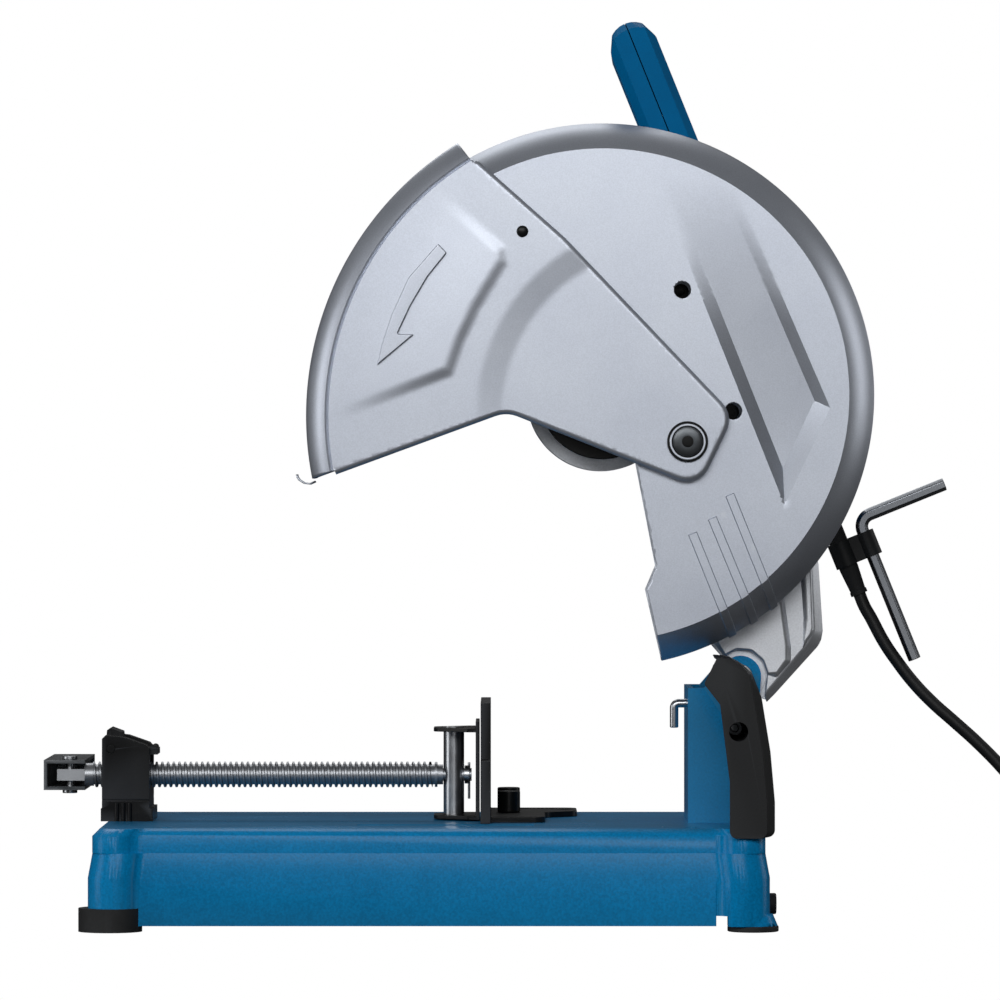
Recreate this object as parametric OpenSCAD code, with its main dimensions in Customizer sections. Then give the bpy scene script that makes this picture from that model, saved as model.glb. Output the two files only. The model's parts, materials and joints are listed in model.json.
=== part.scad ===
// Abrasive chop saw: cast base with vise, hinged motor arm, guards and cord
// +X points to the rear, +Y away from the guard side, +Z up, origin on the floor under the base

/* [Base] */
// Length of the base at its foot
base_l = 465; // [450:1:500]
// Width of the base over its corner columns
base_w = 276; // [270:1:300]
// Height of the table
table_z = 70; // [64:1:80]
// Wall of the base casting
pan_wall = 3; // [2.5:0.5:5]
// How far the foot of the wall stands out from its top
flare = 3; // [1:0.5:5]
// Radius of the corner columns at the top
column_r = 15; // [12:0.5:18]
// How far the columns stand out from the side walls
column_out = 9; // [5:0.5:11]
// Diameter of the front foot cups
front_foot_d = 43.6; // [40:0.1:50]
// Height of the front foot cups
front_foot_h = 16; // [10:0.5:24]
// Diameter of the rear foot pads
rear_foot_d = 35; // [30:0.5:36]
// Thickness of rubber under the base
foot_t = 4; // [3:0.5:8]
// Diameter of the bench bolt holes
bench_hole_d = 9; // [6:0.5:12]

/* [Arm hinge] */
// Distance of the hinge behind the middle of the base
pivot_x = 215.7; // [212:0.1:220]
// Height of the hinge
pivot_z = 171.9; // [168:0.1:185]
// Diameter of the hinge pin
hinge_pin_d = 16; // [12:0.5:18]
// Wall of the hinge bracket ears
ear_t = 8; // [6:0.5:8]
// Wire of the arm return spring
spring_wire = 3.4; // [2.5:0.1:4]
// Turns of the arm return spring
spring_turns = 6; // [4:1:7]
// Degrees that the arm comes down
arm_drop = 45; // [40:1:46]

/* [Guards] */
// Distance of the spindle in front of the hinge
reach_x = 96.7; // [94:0.1:100]
// Height of the spindle above the hinge
reach_z = 194.2; // [190:0.1:205]
// Outside radius of the fixed guard
guard_r = 187.5; // [184:0.5:189]
// Outside width of the fixed guard
guard_w = 54.5; // [50:0.5:55]
// Sheet of the guards
guard_t = 2.5; // [1.5:0.1:3]
// Plane of the cutting wheel
wheel_y = -70; // [-71:0.5:-68]
// Radius of the moving guard's rim
fan_r = 220.4; // [218:0.1:226]
// Wall of the spark hood
hood_t = 2.5; // [2:0.1:4]

/* [Drive] */
// Module of the reduction gears
gear_module = 1.75; // [1.6:0.05:1.8]
// Teeth of the motor pinion
pinion_teeth = 10; // [9:1:11]
// Teeth of the drive gear
gear_teeth = 50; // [48:1:50]
// Face width of the drive gear
gear_w = 14; // [10:0.5:16]
// Diameter of the wheel bore that the arbor takes
arbor_d = 25.4; // [20:0.1:30]
// Diameter of the clamp flanges
flange_d = 88; // [70:1:96]
// Outside diameter of the motor housing
motor_d = 116; // [112:1:118]
// Wall of the motor housing
motor_wall = 3.5; // [2.5:0.5:5]
// Diameter of the armature core
core_d = 48; // [40:1:54]

/* [Handle] */
// Thickness of the handle
grip_t = 34; // [30:0.5:36]
// Width of the handle loop
handle_w = 130; // [122:1:140]
// Wall of the handle shells
shell_t = 3; // [2:0.25:4]
// Width of the spine behind the motor
spine_w = 54; // [46:1:60]
// Travel of the trigger
trigger_travel = 6; // [3:0.5:7]
// Size of the stored hex key across its flats
key_af = 8; // [6:0.5:8]

/* [Vise] */
// Outside diameter of the vise screw
screw_d = 18; // [14:0.5:20]
// Pitch of the vise screw
screw_pitch = 4; // [3:0.5:5]
// Height of the vise screw above the table
screw_h = 31.4; // [29:0.1:36]
// Sideways place of the vise
vise_y = 12; // [8:0.5:16]
// Width of the jaw
jaw_w = 64; // [50:1:70]
// Height of the fence above the table
fence_h = 83; // [70:1:95]
// Length of the fence
fence_l = 157; // [140:1:160]
// Thickness of the fence
fence_t = 7; // [5:0.5:9]

/* [Cord] */
// Diameter of the cord
cord_d = 9; // [7:0.1:9.4]
// Turns in each layer of the coil
coil_turns = 3; // [2:1:3]

/* [Hidden] */
$fn = 64;

// Clearances: a running fit, a loose fit and a gap between pieces that never touch
run_fit = 0.05;
loose = 0.3;
eps = 0.01;

// Base
pan_l = base_l - 2 * flare;
pan_w = base_w - 2 * flare;
side_w = pan_w - 2 * column_out;
band_lo = 36.5;
band_hi = 53.5;
edge_h = 5;
column_blend = 10;
boss_r = 9;
boss_h = 14;
bolt_d = 8;
bolt_head_h = 5.5;
column_x = pan_l / 2 - column_r;
column_y = pan_w / 2 - column_r;
bench_x = base_l / 2 - 52.5;
bench_y = base_w / 2 - 33;
bumper_y = base_w / 2 - 58;
bumper_z = 16.4;
bumper_r = 7.3;
bumper_t = 6;
rear_foot_x = column_x + 6.5;
flange_h = 8;
notch_x1 = rear_foot_x - rear_foot_d / 2 + 0.2;
notch_w = 8;
slot_w = 14;
slot_x0 = -50;
slot_x1 = 72;

// Hinge
hub_r = hinge_pin_d / 2 + 9.5;
ear_r = hinge_pin_d / 2 + 6;
ear_y0 = -32;
ear_y1 = 52;
hub_y1 = 16;
sleeve_r = hinge_pin_d / 2 + 2.8;
bracket_x0 = pivot_x - 36.7;
bracket_wall = 4;
bracket_x1 = base_l / 2 - 2;
bracket_floor = 5;
bracket_top = pivot_z - 8.4;
shoulder_l = 11;
lock_z = pivot_z - 19.5;
lock_y = -22;
lock_r = 3;
lock_travel = 6;
lug_r = hub_r + 5.5;
lug_bore_x = 10;

spring_r = (sleeve_r + 0.4 + spring_wire / 2) / cos(22.5);
spring_pitch = (ear_y1 - hub_y1 - spring_wire - 2) / spring_turns;
spring_leg = 36;
hood_hole = [pivot_x - 5.2, pivot_z - 35.3];
hood_screw_r = 3;
hood_x1 = base_l / 2 + 3.5;
hood_y0 = -base_w / 2 - 1;
hood_y1 = ear_y0 - ear_t - 2;

// Spindle, wheel and motor axes
wheel_x = pivot_x - reach_x;
wheel_z = pivot_z + reach_z;
gear_pd = gear_module * gear_teeth;
pinion_pd = gear_module * pinion_teeth;
centre_d = (gear_pd + pinion_pd) / 2;
drive_angle = 30;
motor_x = wheel_x + centre_d * cos(drive_angle);
motor_z = wheel_z + centre_d * sin(drive_angle);
guard_y1 = -41.5;
guard_y0 = guard_y1 - guard_w;
guard_edge_r = 18.6;
fan_gap = 6.5;
fan_y1 = guard_y0 - fan_gap;
fan_y0 = fan_y1 - guard_t;
fan_lip_y = guard_y1 + 2;
fan_x = wheel_x + 57.8;
fan_z = wheel_z - 32.2;
fan_bolt_d = 16;
case_y0 = -34;
case_y1 = 8;
plate_y1 = 16;
nose_r = 30;
nose_y0 = guard_y1 - guard_t - 4;
case_wall = 4;
case_r = gear_pd / 2 + gear_module + 2.5 + case_wall;
case_pinion_r = pinion_pd / 2 + gear_module + 3 + case_wall;
gear_y0 = -18;
gear_y1 = gear_y0 + gear_w;
spindle_r = 8.5;
bearing_r = 20;
bearing_w = 12;
tail_r = 6;
tail_bearing_r = 14;
tail_bearing_w = 8;
seat_y = wheel_y + 1.5;
arbor_len = 2.5;
flange_t = 7;
shaft_r = 6;
motor_r = motor_d / 2;
motor_y1 = 125;
cap_y1 = 160;
front_bearing_r = 16;
rear_bearing_r = 15;
rear_bearing_y = 128;
rear_bearing_w = 9;
stack_y0 = 42;
stack_y1 = 96;
air_gap = 0.7;
brush_y = 113;
commutator_r = 16;

// Handle frame: its origin is on the motor axis, n points to the rear and h up along the leaning spine
lean = 22;
spine_n = motor_r + 3;
grip_h = 211;
handle_y = 45;
leg_w = 34;
loop_low = grip_h - 112;
loop_corner = 8;
gap_top = grip_h - grip_t / 2;
gap_low = grip_h - 82;
spine_low = -134;
half_n = grip_t / 2;
trigger_w = 30;
trigger_n = 8;
button_r = 6;
button_h = grip_h - 22;
relief_n = spine_n + 5.3;
relief_r = 6.8;
relief_low = -204.6;
relief_end_r = 5.3;
key_r = key_af / sqrt(3);
key_n = spine_n + half_n + key_r + 2.6;
key_bend_h = -155;
key_long = 107;
key_short = 66;
clip_h0 = -183;
clip_h1 = -165;

// Vise
screw_z = table_z + screw_h;
screw_r = screw_d / 2;
jaw_x = 16.1;
jaw_pin_r = 7.25;
jaw_plate = 2.7;
jaw_reach = 18.1;
block_x0 = -base_l / 2 + 3.5;
block_x1 = block_x0 + 33;
block_w = 64;
block_h = 60;
lever_x = block_x0 + 6.3;
lever_z = screw_z + 19;
block_top = table_z + block_h;
crank_x = block_x0 - 24.3;
crank_w = 21;
crank_l = 100;
thread_x1 = jaw_x - 11.8;
neck_r = screw_r - 3;
fence_x = 35;
fence_pivot_x = fence_x + 19.7;
fence_pivot_y = vise_y + 20;
fence_y1 = 100;
foot_h = 4;
foot_x1 = fence_x + 45;
foot_x2 = foot_x1 + 23;
foot_in = 17;
foot_step = 18;
fence_slot_r = fence_y1 - 10 - fence_pivot_y;

// Cord: route of the lead as [x, z] points in the plane of the handle
lead_points = [[310.4, 211.3], [319.9, 193.6], [329.5, 179.5], [340.4, 165.4], [353.9, 151.2],
    [369.8, 137.1], [386, 122.5], [404, 104], [421, 83], [436, 61], [450, 40], [466, 22]];
coil_x = 490;
coil_in = 34;
coil_pitch = 10;
coil_layer = 9.6;
coil_tie = 0.8;

// Colours
blue = "#17618E";
dark_blue = "#0D5A85";
silver = "#C6CCD7";
casting = "#A0A4AF";
black = "#26282B";
rubber = "#1C1D1F";
steel = "#9DA1A6";
copper = "#B0713C";

// A box between two corners
module box(x0, x1, y0, y1, z0, z1) {
    translate([x0, y0, z0]) cube([x1 - x0, y1 - y0, z1 - z0]);
}

// Round bars along the three axes
module bar_x(x0, x1, y, z, r) {
    translate([x0, y, z]) rotate([0, 90, 0]) cylinder(h = x1 - x0, r = r);
}
module bar_y(x, z, y0, y1, r) {
    translate([x, y1, z]) rotate([90, 0, 0]) cylinder(h = y1 - y0, r = r);
}
module bar_z(x, y, z0, z1, r) {
    translate([x, y, z0]) cylinder(h = z1 - z0, r = r);
}

// A plate of a drawn outline, upright between two y planes
module slab(y0, y1) {
    translate([0, y1, 0]) rotate([90, 0, 0]) linear_extrude(y1 - y0) children();
}

// A turned body about an axis along y at [x, z]; the profile's height is y
module turned(x, z) {
    translate([x, 0, z]) rotate([-90, 0, 0]) rotate_extrude() children();
}

// A hexagon socket cut along y into a screw head, deep to y
module hex_socket(x, z, y) {
    translate([x, y, z]) rotate([90, 0, 0]) cylinder(h = 9, r = 2.9, $fn = 6);
}

// A hexagon head along z
module hex_head(x, y, z0, h, af) {
    translate([x, y, z0]) cylinder(h = h, r = af / sqrt(3), $fn = 6);
}

// Points of an arc
function arc(c, r, a0, a1, n) = [for (i = [0:n]) let (a = a0 + (a1 - a0) * i / n)
    c + r * [cos(a), sin(a)]];

// One rounded corner at b between a and c
function unit(v) = v / norm(v);
function corner(a, b, c, r) =
    let (u = unit(a - b), v = unit(c - b), h = acos(u * v) / 2, m = b + unit(u + v) * r / sin(h),
        p = b + u * r / tan(h) - m, q = b + v * r / tan(h) - m, a0 = atan2(p.y, p.x),
        turn = atan2(q.y, q.x) - a0, sweep = turn > 180 ? turn - 360 : turn < -180 ? turn + 360 : turn)
    arc(m, r, a0, a0 + sweep, 5);
// An outline of [x, z, radius] corners
function plain(p) = [p[0], p[1]];
function rounded(p) = let (n = len(p)) [for (i = [0:n - 1])
    each p[i][2] > 0 ? corner(plain(p[(i + n - 1) % n]), plain(p[i]), plain(p[(i + 1) % n]), p[i][2])
        : [plain(p[i])]];

// A tube swept along points, with flat ends
function side_of(t) = abs(t.z) > 0.9 ? unit(cross(t, [0, 1, 0])) : unit(cross(t, [0, 0, 1]));
module tube(path, r, sides) {
    n = len(path);
    run = [for (i = [0:n - 1]) unit(path[min(i + 1, n - 1)] - path[max(i - 1, 0)])];
    rings = [for (i = [0:n - 1]) let (s = side_of(run[i]), u = cross(s, run[i]))
        for (k = [0:sides - 1]) path[i] + r * (s * cos(360 * k / sides) + u * sin(360 * k / sides))];
    walls = [for (i = [0:n - 2]) for (k = [0:sides - 1])
        let (a = i * sides + k, b = i * sides + (k + 1) % sides)
        each [[a, b, a + sides], [b, b + sides, a + sides]]];
    last = (n - 1) * sides;
    caps = [for (k = [1:sides - 2]) each [[0, k + 1, k], [last, last + k, last + k + 1]]];
    polyhedron(points = rings, faces = concat(walls, caps));
}
// The least gap between the parts of a path that lie further apart than a few rings
function least_gap(path, r, skip) =
    min([for (i = [0:len(path) - 1 - skip]) for (j = [i + skip:len(path) - 1])
        norm(path[i] - path[j])]) - 2 * r;

// Base casting
module pan_outline(grow) {
    offset(r = grow - column_blend) offset(delta = column_blend) {
        square([pan_l, 2 * column_y], center = true);
        square([2 * column_x, side_w], center = true);
        for (sx = [-1, 1], sy = [-1, 1]) translate([sx * column_x, sy * column_y]) circle(column_r);
    }
}
module table_holes() {
    for (p = bracket_bolt_places()) bar_z(p.x, p.y, 0, table_z + 1, bolt_d / 2 + run_fit);
    for (p = fence_bolt_places()) bar_z(p.x, p.y, 0, table_z + 1, bolt_d / 2 + run_fit);
    for (p = block_bolt_places()) bar_z(p.x, p.y, 0, table_z + 1, bolt_d / 2 + run_fit);
    for (sx = [-1, 1], sy = [-1, 1]) bar_z(sx * bench_x, sy * bench_y, 0, table_z + 1, bench_hole_d / 2);
}
function bracket_bolt_places() =
    [for (x = [bracket_x0 + 16, bracket_x1 - 10], y = [ear_y0 + 11, ear_y1 - 11]) [x, y]];
function fence_bolt_places() =
    [[fence_pivot_x, fence_pivot_y], [fence_pivot_x, fence_pivot_y + fence_slot_r]];
function block_bolt_places() =
    [for (s = [-1, 1]) [(block_x0 + block_x1) / 2, vise_y + s * (block_w / 2 - 6)]];

module base_pan() {
    color(blue) difference() {
        union() {
            translate([0, 0, foot_t]) linear_extrude(band_lo - foot_t) pan_outline(flare);
            translate([0, 0, band_lo]) linear_extrude(band_hi - band_lo, slices = 1,
                scale = [pan_l / base_l, pan_w / base_w]) pan_outline(flare, $fn = 48);
            translate([0, 0, band_hi]) linear_extrude(table_z - edge_h - band_hi) pan_outline(0);
            translate([0, 0, table_z - edge_h])
                linear_extrude(edge_h, slices = 1, scale = [1 - 2 * edge_h / pan_l, 1 - 2 * edge_h / pan_w])
                    pan_outline(0, $fn = 48);
            for (s = [-1, 1]) translate([rear_foot_x, s * column_y, foot_t])
                cylinder(h = flange_h, r1 = rear_foot_d / 2 - 0.6, r2 = rear_foot_d / 2 - 4);
        }
        difference() {
            translate([0, 0, -1]) linear_extrude(table_z - pan_wall + 1) pan_outline(-pan_wall);
            for (p = concat(bracket_bolt_places(), fence_bolt_places()))
                bar_z(p.x, p.y, table_z - pan_wall - boss_h, table_z, boss_r);
            for (s = [-1, 1])
                bar_z(rear_foot_x, s * column_y, foot_t, foot_t + flange_h - 2, rear_foot_d / 2);
        }
        table_holes();
        box(slot_x0, slot_x1, wheel_y - slot_w / 2, wheel_y + slot_w / 2, 0, table_z + 1);
        box(notch_x1 - notch_w, notch_x1, -base_w, -side_w / 2 + pan_wall + 1, 0, foot_t + 7);
    }
}

module front_feet() {
    color(rubber) for (s = [-1, 1]) difference() {
        bar_z(-column_x - 2.7, s * column_y, 0, front_foot_h, front_foot_d / 2);
        translate([0, 0, foot_t]) linear_extrude(front_foot_h) pan_outline(flare + 0.1);
    }
}

module rear_feet() {
    color(rubber) for (s = [-1, 1]) bar_z(rear_foot_x, s * column_y, 0, foot_t, rear_foot_d / 2);
}

module rear_bumpers() {
    color(rubber) for (s = [-1, 1])
        bar_x(base_l / 2, base_l / 2 + bumper_t, s * bumper_y, bumper_z, bumper_r);
}

// Hinge bracket
module ear_outline() {
    difference() {
        union() {
            polygon(concat([[bracket_x0, table_z], [bracket_x1, table_z], [bracket_x1 - 4, table_z + 50]],
                arc([pivot_x, pivot_z], ear_r, -5, 140, 12),
                [[bracket_x0 + shoulder_l, bracket_top], [bracket_x0, bracket_top]]));
        }
        translate([pivot_x, pivot_z]) circle(hinge_pin_d / 2 + run_fit);
    }
}
module hinge_bracket() {
    color(blue) difference() {
        union() {
            slab(ear_y0 - ear_t, ear_y0) ear_outline();
            slab(ear_y1, ear_y1 + ear_t) ear_outline();
            box(bracket_x0, bracket_x0 + bracket_wall, ear_y0 - eps, ear_y1 + eps, table_z, bracket_top);
            box(bracket_x0, bracket_x1, ear_y0 - eps, ear_y1 + eps, table_z, table_z + bracket_floor);
        }
        for (p = bracket_bolt_places()) bar_z(p.x, p.y, 0, pivot_z, bolt_d / 2 + run_fit);
        bar_x(bracket_x0 - 1, bracket_x0 + bracket_wall + 1, lock_y, lock_z, lock_r + run_fit);
        bar_y(hood_hole[0], hood_hole[1], ear_y0 - ear_t - 1, ear_y0 + 1, hood_screw_r + run_fit);
    }
}

module base_bolts() {
    color(steel) {
        for (p = bracket_bolt_places()) {
            bar_z(p.x, p.y, table_z - 12, table_z + bracket_floor + eps, bolt_d / 2);
            hex_head(p.x, p.y, table_z + bracket_floor, bolt_head_h, 13);
        }
        for (p = block_bolt_places()) {
            bar_z(p.x, p.y, table_z - pan_wall - eps, table_z + 9, bolt_d / 2);
            hex_head(p.x, p.y, table_z - pan_wall - bolt_head_h, bolt_head_h, 13);
        }
    }
}

module hinge_pin() {
    color(steel) {
        bar_y(pivot_x, pivot_z, ear_y0 - ear_t - 1.5, ear_y1 + ear_t + 6, hinge_pin_d / 2);
        bar_y(pivot_x, pivot_z, ear_y1 + ear_t, ear_y1 + ear_t + 4, hinge_pin_d / 2 + 4);
    }
}

// Arm return spring: curls round the hub sleeve, one leg up along the arm and one down into the bracket
function spring_point(s) = [pivot_x + spring_r * cos(360 * s),
    hub_y1 + 1 + spring_wire / 2 + spring_pitch * s,
    pivot_z - spring_r * sin(360 * s)];
spring_path = concat(
    [for (i = [4:-1:1]) spring_point(0) + [0, 0, spring_leg * i / 4]],
    [for (i = [0:8 * spring_turns]) spring_point(i / 8)],
    [for (i = [1:4]) spring_point(spring_turns) - [0, 0, spring_leg * i / 4]]);
module return_spring() {
    color(steel) tube(spring_path, spring_wire / 2, 6);
}

// Spark hood
hood_outline = [[pivot_x - 19.7, pivot_z + 15.1], [pivot_x - 28.7, pivot_z - 2.9],
    [pivot_x - 17.7, pivot_z - 16.9], [pivot_x - 11.1, table_z + 32],
    [pivot_x - 11.1, table_z - 6], [hood_x1, table_z - 6],
    [hood_x1, table_z + 18], [hood_x1 - 3, table_z + 52], [pivot_x + 11.3, pivot_z - 12.9],
    [pivot_x + 4.9, pivot_z + 3.7], [pivot_x - 1.7, pivot_z + 10.1], [pivot_x - 9.2, pivot_z + 14.1]];
hood_boss_r = 9;
hood_well_r = 6.6;
hood_well_y = -60;
module spark_hood() {
    color(black) difference() {
        union() {
            slab(hood_y0, hood_y1) difference() {
                polygon(hood_outline);
                translate([-hood_t, -hood_t]) polygon(hood_outline);
            }
            slab(hood_y0, hood_y0 + hood_t) polygon(hood_outline);
            bar_y(hood_hole[0], hood_hole[1], hood_y0, ear_y0 - ear_t, hood_boss_r);
        }
        bar_y(hood_hole[0], hood_hole[1], hood_y0 - 1, hood_well_y, hood_well_r);
        bar_y(hood_hole[0], hood_hole[1], hood_y0 - 1, 0, hood_screw_r + run_fit);
    }
}
module hood_screw() {
    color(steel) difference() {
        union() {
            bar_y(hood_hole[0], hood_hole[1], hood_well_y - 5, hood_well_y, hood_well_r - loose);
            bar_y(hood_hole[0], hood_hole[1], hood_well_y - eps, ear_y0 - 0.5, hood_screw_r);
        }
        hex_socket(hood_hole[0], hood_hole[1], hood_well_y - 2);
    }
}

// Vise: block with the quick-release half nut
trough_w = 37;
block_groove = 1.2;
block_foot = 9;
block_rib_r = 1.5;
lever_pin_r = 3;
module nut_block() {
    color(black) difference() {
        union() {
            slab(vise_y - block_w / 2, vise_y + block_w / 2) polygon([[block_x0, table_z],
                [block_x1, table_z], [block_x1, block_top - 9.5], [block_x1 - 2.5, block_top - 6.7],
                [block_x0 + 16, block_top - 1.6], [block_x0 + 2.5, block_top], [block_x0, block_top - 2.5]]);
            box(block_x0 - 0.8, block_x1 + 2.4, vise_y - block_w / 2, vise_y + block_w / 2,
                table_z, table_z + block_foot);
            for (i = [0:2]) bar_z(block_x0 + 10.5 + i * 4.5, vise_y - block_w / 2, table_z,
                table_z + 13, block_rib_r);
        }
        box(block_x0 - 1, block_x1 + 1, vise_y - trough_w / 2, vise_y + trough_w / 2,
            screw_z, block_top + 1);
        bar_x(block_x0 - 1, block_x1 + 3, vise_y, screw_z, screw_r + 0.1);
        bar_y(lever_x, lever_z, vise_y - block_w, vise_y + block_w, lever_pin_r + run_fit);
        for (p = block_bolt_places()) bar_z(p.x, p.y, table_z - 1, table_z + 9.5, bolt_d / 2 + run_fit);
        for (s = [-1, 1]) box(block_x0 - 1, block_x1 + 1, vise_y + s * block_w / 2 - block_groove,
            vise_y + s * block_w / 2 + block_groove, table_z + 14, table_z + 15.5);
    }
}
module lever_pin() {
    color(steel) bar_y(lever_x, lever_z, vise_y - block_w / 2, vise_y + block_w / 2, lever_pin_r);
}
lever_w = trough_w - 1;
nut_top = screw_z + 14.6;
lever_t = 4.2;
module clamp_lever() {
    color(black) difference() {
        union() {
            bar_y(lever_x, lever_z, vise_y - lever_w / 2, vise_y + lever_w / 2, lever_pin_r + 3.2);
            box(lever_x, block_x1 + 5, vise_y - lever_w / 2, vise_y + lever_w / 2,
                nut_top, nut_top + lever_t);
            slab(vise_y - lever_w / 2, vise_y + lever_w / 2) polygon([[lever_x - 4.5, lever_z],
                [lever_x - 3.6, lever_z + 12.6], [lever_x - 1.4, lever_z + 14.2],
                [lever_x + 6.6, lever_z + 11.2], [lever_x + 8, nut_top + lever_t - eps]]);
            bar_y(block_x1 + 2, nut_top + lever_t, vise_y - lever_w / 2, vise_y + lever_w / 2, 2.4);
        }
        bar_y(lever_x, lever_z, vise_y - block_w, vise_y + block_w, lever_pin_r + run_fit);
    }
}
module half_nut() {
    color(steel) difference() {
        box(block_x0 + 12, block_x1 - 3, vise_y - lever_w / 2, vise_y + lever_w / 2,
            screw_z + loose, nut_top);
        bar_x(block_x0, block_x1, vise_y, screw_z, screw_r + 0.1);
    }
}

// Vise screw, its pin, jaw and crank
thread_x0 = block_x0 - 8;
thread_depth = 2;
journal_r = 4.5;
journal_x1 = jaw_x + 12.5;
split_pin_r = 0.9;
split_pin_x = journal_x1 - 1.8;
collar_x = jaw_x - jaw_pin_r - loose;
thread_count = floor((thread_x1 - thread_x0) / screw_pitch);
thread_profile = concat([[0, 0]], [for (i = [0:thread_count - 1]) each
    [[screw_r, i * screw_pitch], [screw_r, (i + 0.36) * screw_pitch],
        [screw_r - thread_depth, (i + 0.5) * screw_pitch],
        [screw_r - thread_depth, (i + 0.86) * screw_pitch]]],
    [[screw_r, thread_count * screw_pitch], [screw_r, thread_x1 - thread_x0 + eps],
        [0, thread_x1 - thread_x0 + eps]]);
tongue_h = 8;
tongue_w = 16;
collar_l = 6;
module vise_screw() {
    color(steel) difference() {
        union() {
            translate([thread_x0, vise_y, screw_z]) rotate([0, 90, 0])
                rotate_extrude() polygon(thread_profile);
            bar_x(thread_x1, collar_x, vise_y, screw_z, neck_r);
            bar_x(collar_x - eps, journal_x1, vise_y, screw_z, journal_r);
            bar_x(thread_x0 - collar_l, thread_x0 + eps, vise_y, screw_z, screw_r - 1);
            box(crank_x - 8.5, thread_x0 - collar_l + eps, vise_y - tongue_w / 2, vise_y + tongue_w / 2,
                screw_z - tongue_h / 2, screw_z + tongue_h / 2);
        }
        bar_z(crank_x, vise_y, screw_z - crank_w, screw_z + crank_w, crank_pin_r + run_fit);
        bar_z(split_pin_x, vise_y, screw_z - screw_d, screw_z + screw_d, split_pin_r + run_fit);
    }
}
module screw_retainer() {
    color(steel) {
        difference() {
            bar_x(jaw_x + jaw_pin_r + loose, split_pin_x, vise_y, screw_z, 6.4);
            bar_x(jaw_x, journal_x1, vise_y, screw_z, journal_r + run_fit);
        }
        bar_z(split_pin_x, vise_y, screw_z - 17, screw_z + 8.5, split_pin_r);
    }
}
jaw_z0 = table_z + 1;
jaw_z1 = screw_z + 33.3;
module vise_pin() {
    color(steel) difference() {
        bar_z(jaw_x, vise_y, jaw_z0 - 0.4, jaw_z1 + 0.5, jaw_pin_r);
        bar_x(0, 2 * jaw_x, vise_y, screw_z, journal_r + run_fit);
    }
}
module jaw() {
    x1 = jaw_x + jaw_reach;
    color(black) difference() {
        union() {
            box(x1 - jaw_plate, x1, vise_y - jaw_w / 2, vise_y + jaw_w / 2, jaw_z0, jaw_z1 + 5);
            for (z = [jaw_z0, jaw_z1 - jaw_plate]) translate([0, 0, z]) linear_extrude(jaw_plate)
                polygon(rounded([[jaw_x - 14, vise_y - 15, 8], [x1 - 8, vise_y - jaw_w / 2, 3],
                    [x1 - 1, vise_y - jaw_w / 2, 0], [x1 - 1, vise_y + jaw_w / 2, 0],
                    [x1 - 8, vise_y + jaw_w / 2, 3], [jaw_x - 14, vise_y + 15, 8]]));
        }
        bar_z(jaw_x, vise_y, table_z, jaw_z1 + 9, jaw_pin_r + run_fit);
    }
}
crank_t = 2.5;
crank_pin_r = 3;
crank_x0 = crank_x - 17.7;
crank_x1 = crank_x + 11.3;
crank_y0 = vise_y - 11;
module crank_arm() {
    color(steel) difference() {
        box(crank_x0, crank_x1, crank_y0, vise_y + crank_l, screw_z - crank_w / 2, screw_z + crank_w / 2);
        box(crank_x0 + crank_t, crank_x1 + 1, crank_y0 - 1, vise_y + crank_l - crank_t,
            screw_z - crank_w / 2 + crank_t, screw_z + crank_w / 2 - crank_t);
        bar_z(crank_x, vise_y, screw_z - crank_w, screw_z + crank_w, crank_pin_r + 0.02);
    }
}
module crank_pin() {
    color(steel) {
        bar_z(crank_x, vise_y, screw_z - crank_w / 2 - 2, screw_z + crank_w / 2 + 2, crank_pin_r);
        for (z = [screw_z - crank_w / 2 - 2.5, screw_z + crank_w / 2])
            bar_z(crank_x, vise_y, z, z + 2.5, crank_pin_r + 2.2);
    }
}

// Fence
fence_z0 = table_z + 0.1;
fence_y0 = fence_y1 - fence_l;
fence_step = 39.4;
fence_step_l = 22;
module fence() {
    x1 = fence_x + fence_t;
    color(black) difference() {
        union() {
            box(fence_x, x1, fence_y0 + fence_step_l, fence_y1, fence_z0, table_z + fence_h);
            box(fence_x, x1, fence_y0, fence_y1, fence_z0, table_z + fence_h - fence_step);
            translate([0, 0, fence_z0]) linear_extrude(foot_h) polygon(rounded([
                [fence_x + 1, fence_y0 + foot_in, 0], [foot_x1, fence_y0 + foot_in, 8],
                [foot_x1, fence_pivot_y, 14], [foot_x2, fence_pivot_y + foot_step, 10],
                [foot_x2, fence_y1, 8], [fence_x + 1, fence_y1, 0]]));
        }
        bar_z(fence_pivot_x, fence_pivot_y, table_z - 1, table_z + 9, bolt_d / 2 + run_fit);
        translate([fence_pivot_x, fence_pivot_y, table_z - 1]) rotate([0, 0, 40]) rotate_extrude(angle = 56)
            translate([fence_slot_r - bolt_d / 2 - 0.5, 0]) square([bolt_d + 1, 9]);
    }
}
fence_head_r = 8;
module fence_bolts() {
    color(steel) for (p = fence_bolt_places()) difference() {
        union() {
            bar_z(p.x, p.y, table_z - 13, table_z + 6, bolt_d / 2);
            bar_z(p.x, p.y, fence_z0 + foot_h + 0.1, table_z + 19, fence_head_r);
        }
        hex_head(p.x, p.y, table_z + 12, 8, 6);
    }
}

// Transport lock pin, bent down outside the bracket
lock_tip = pivot_x - lug_bore_x - lock_travel - 1;
lock_bend_x = bracket_x0 - lock_travel - lock_r - 0.2;
module lock_pin() {
    color(steel) {
        bar_x(lock_bend_x, lock_tip, lock_y, lock_z, lock_r);
        translate([lock_bend_x, lock_y, lock_z]) sphere(lock_r);
        bar_z(lock_bend_x, lock_y, lock_z - 17, lock_z, lock_r);
    }
}

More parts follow.
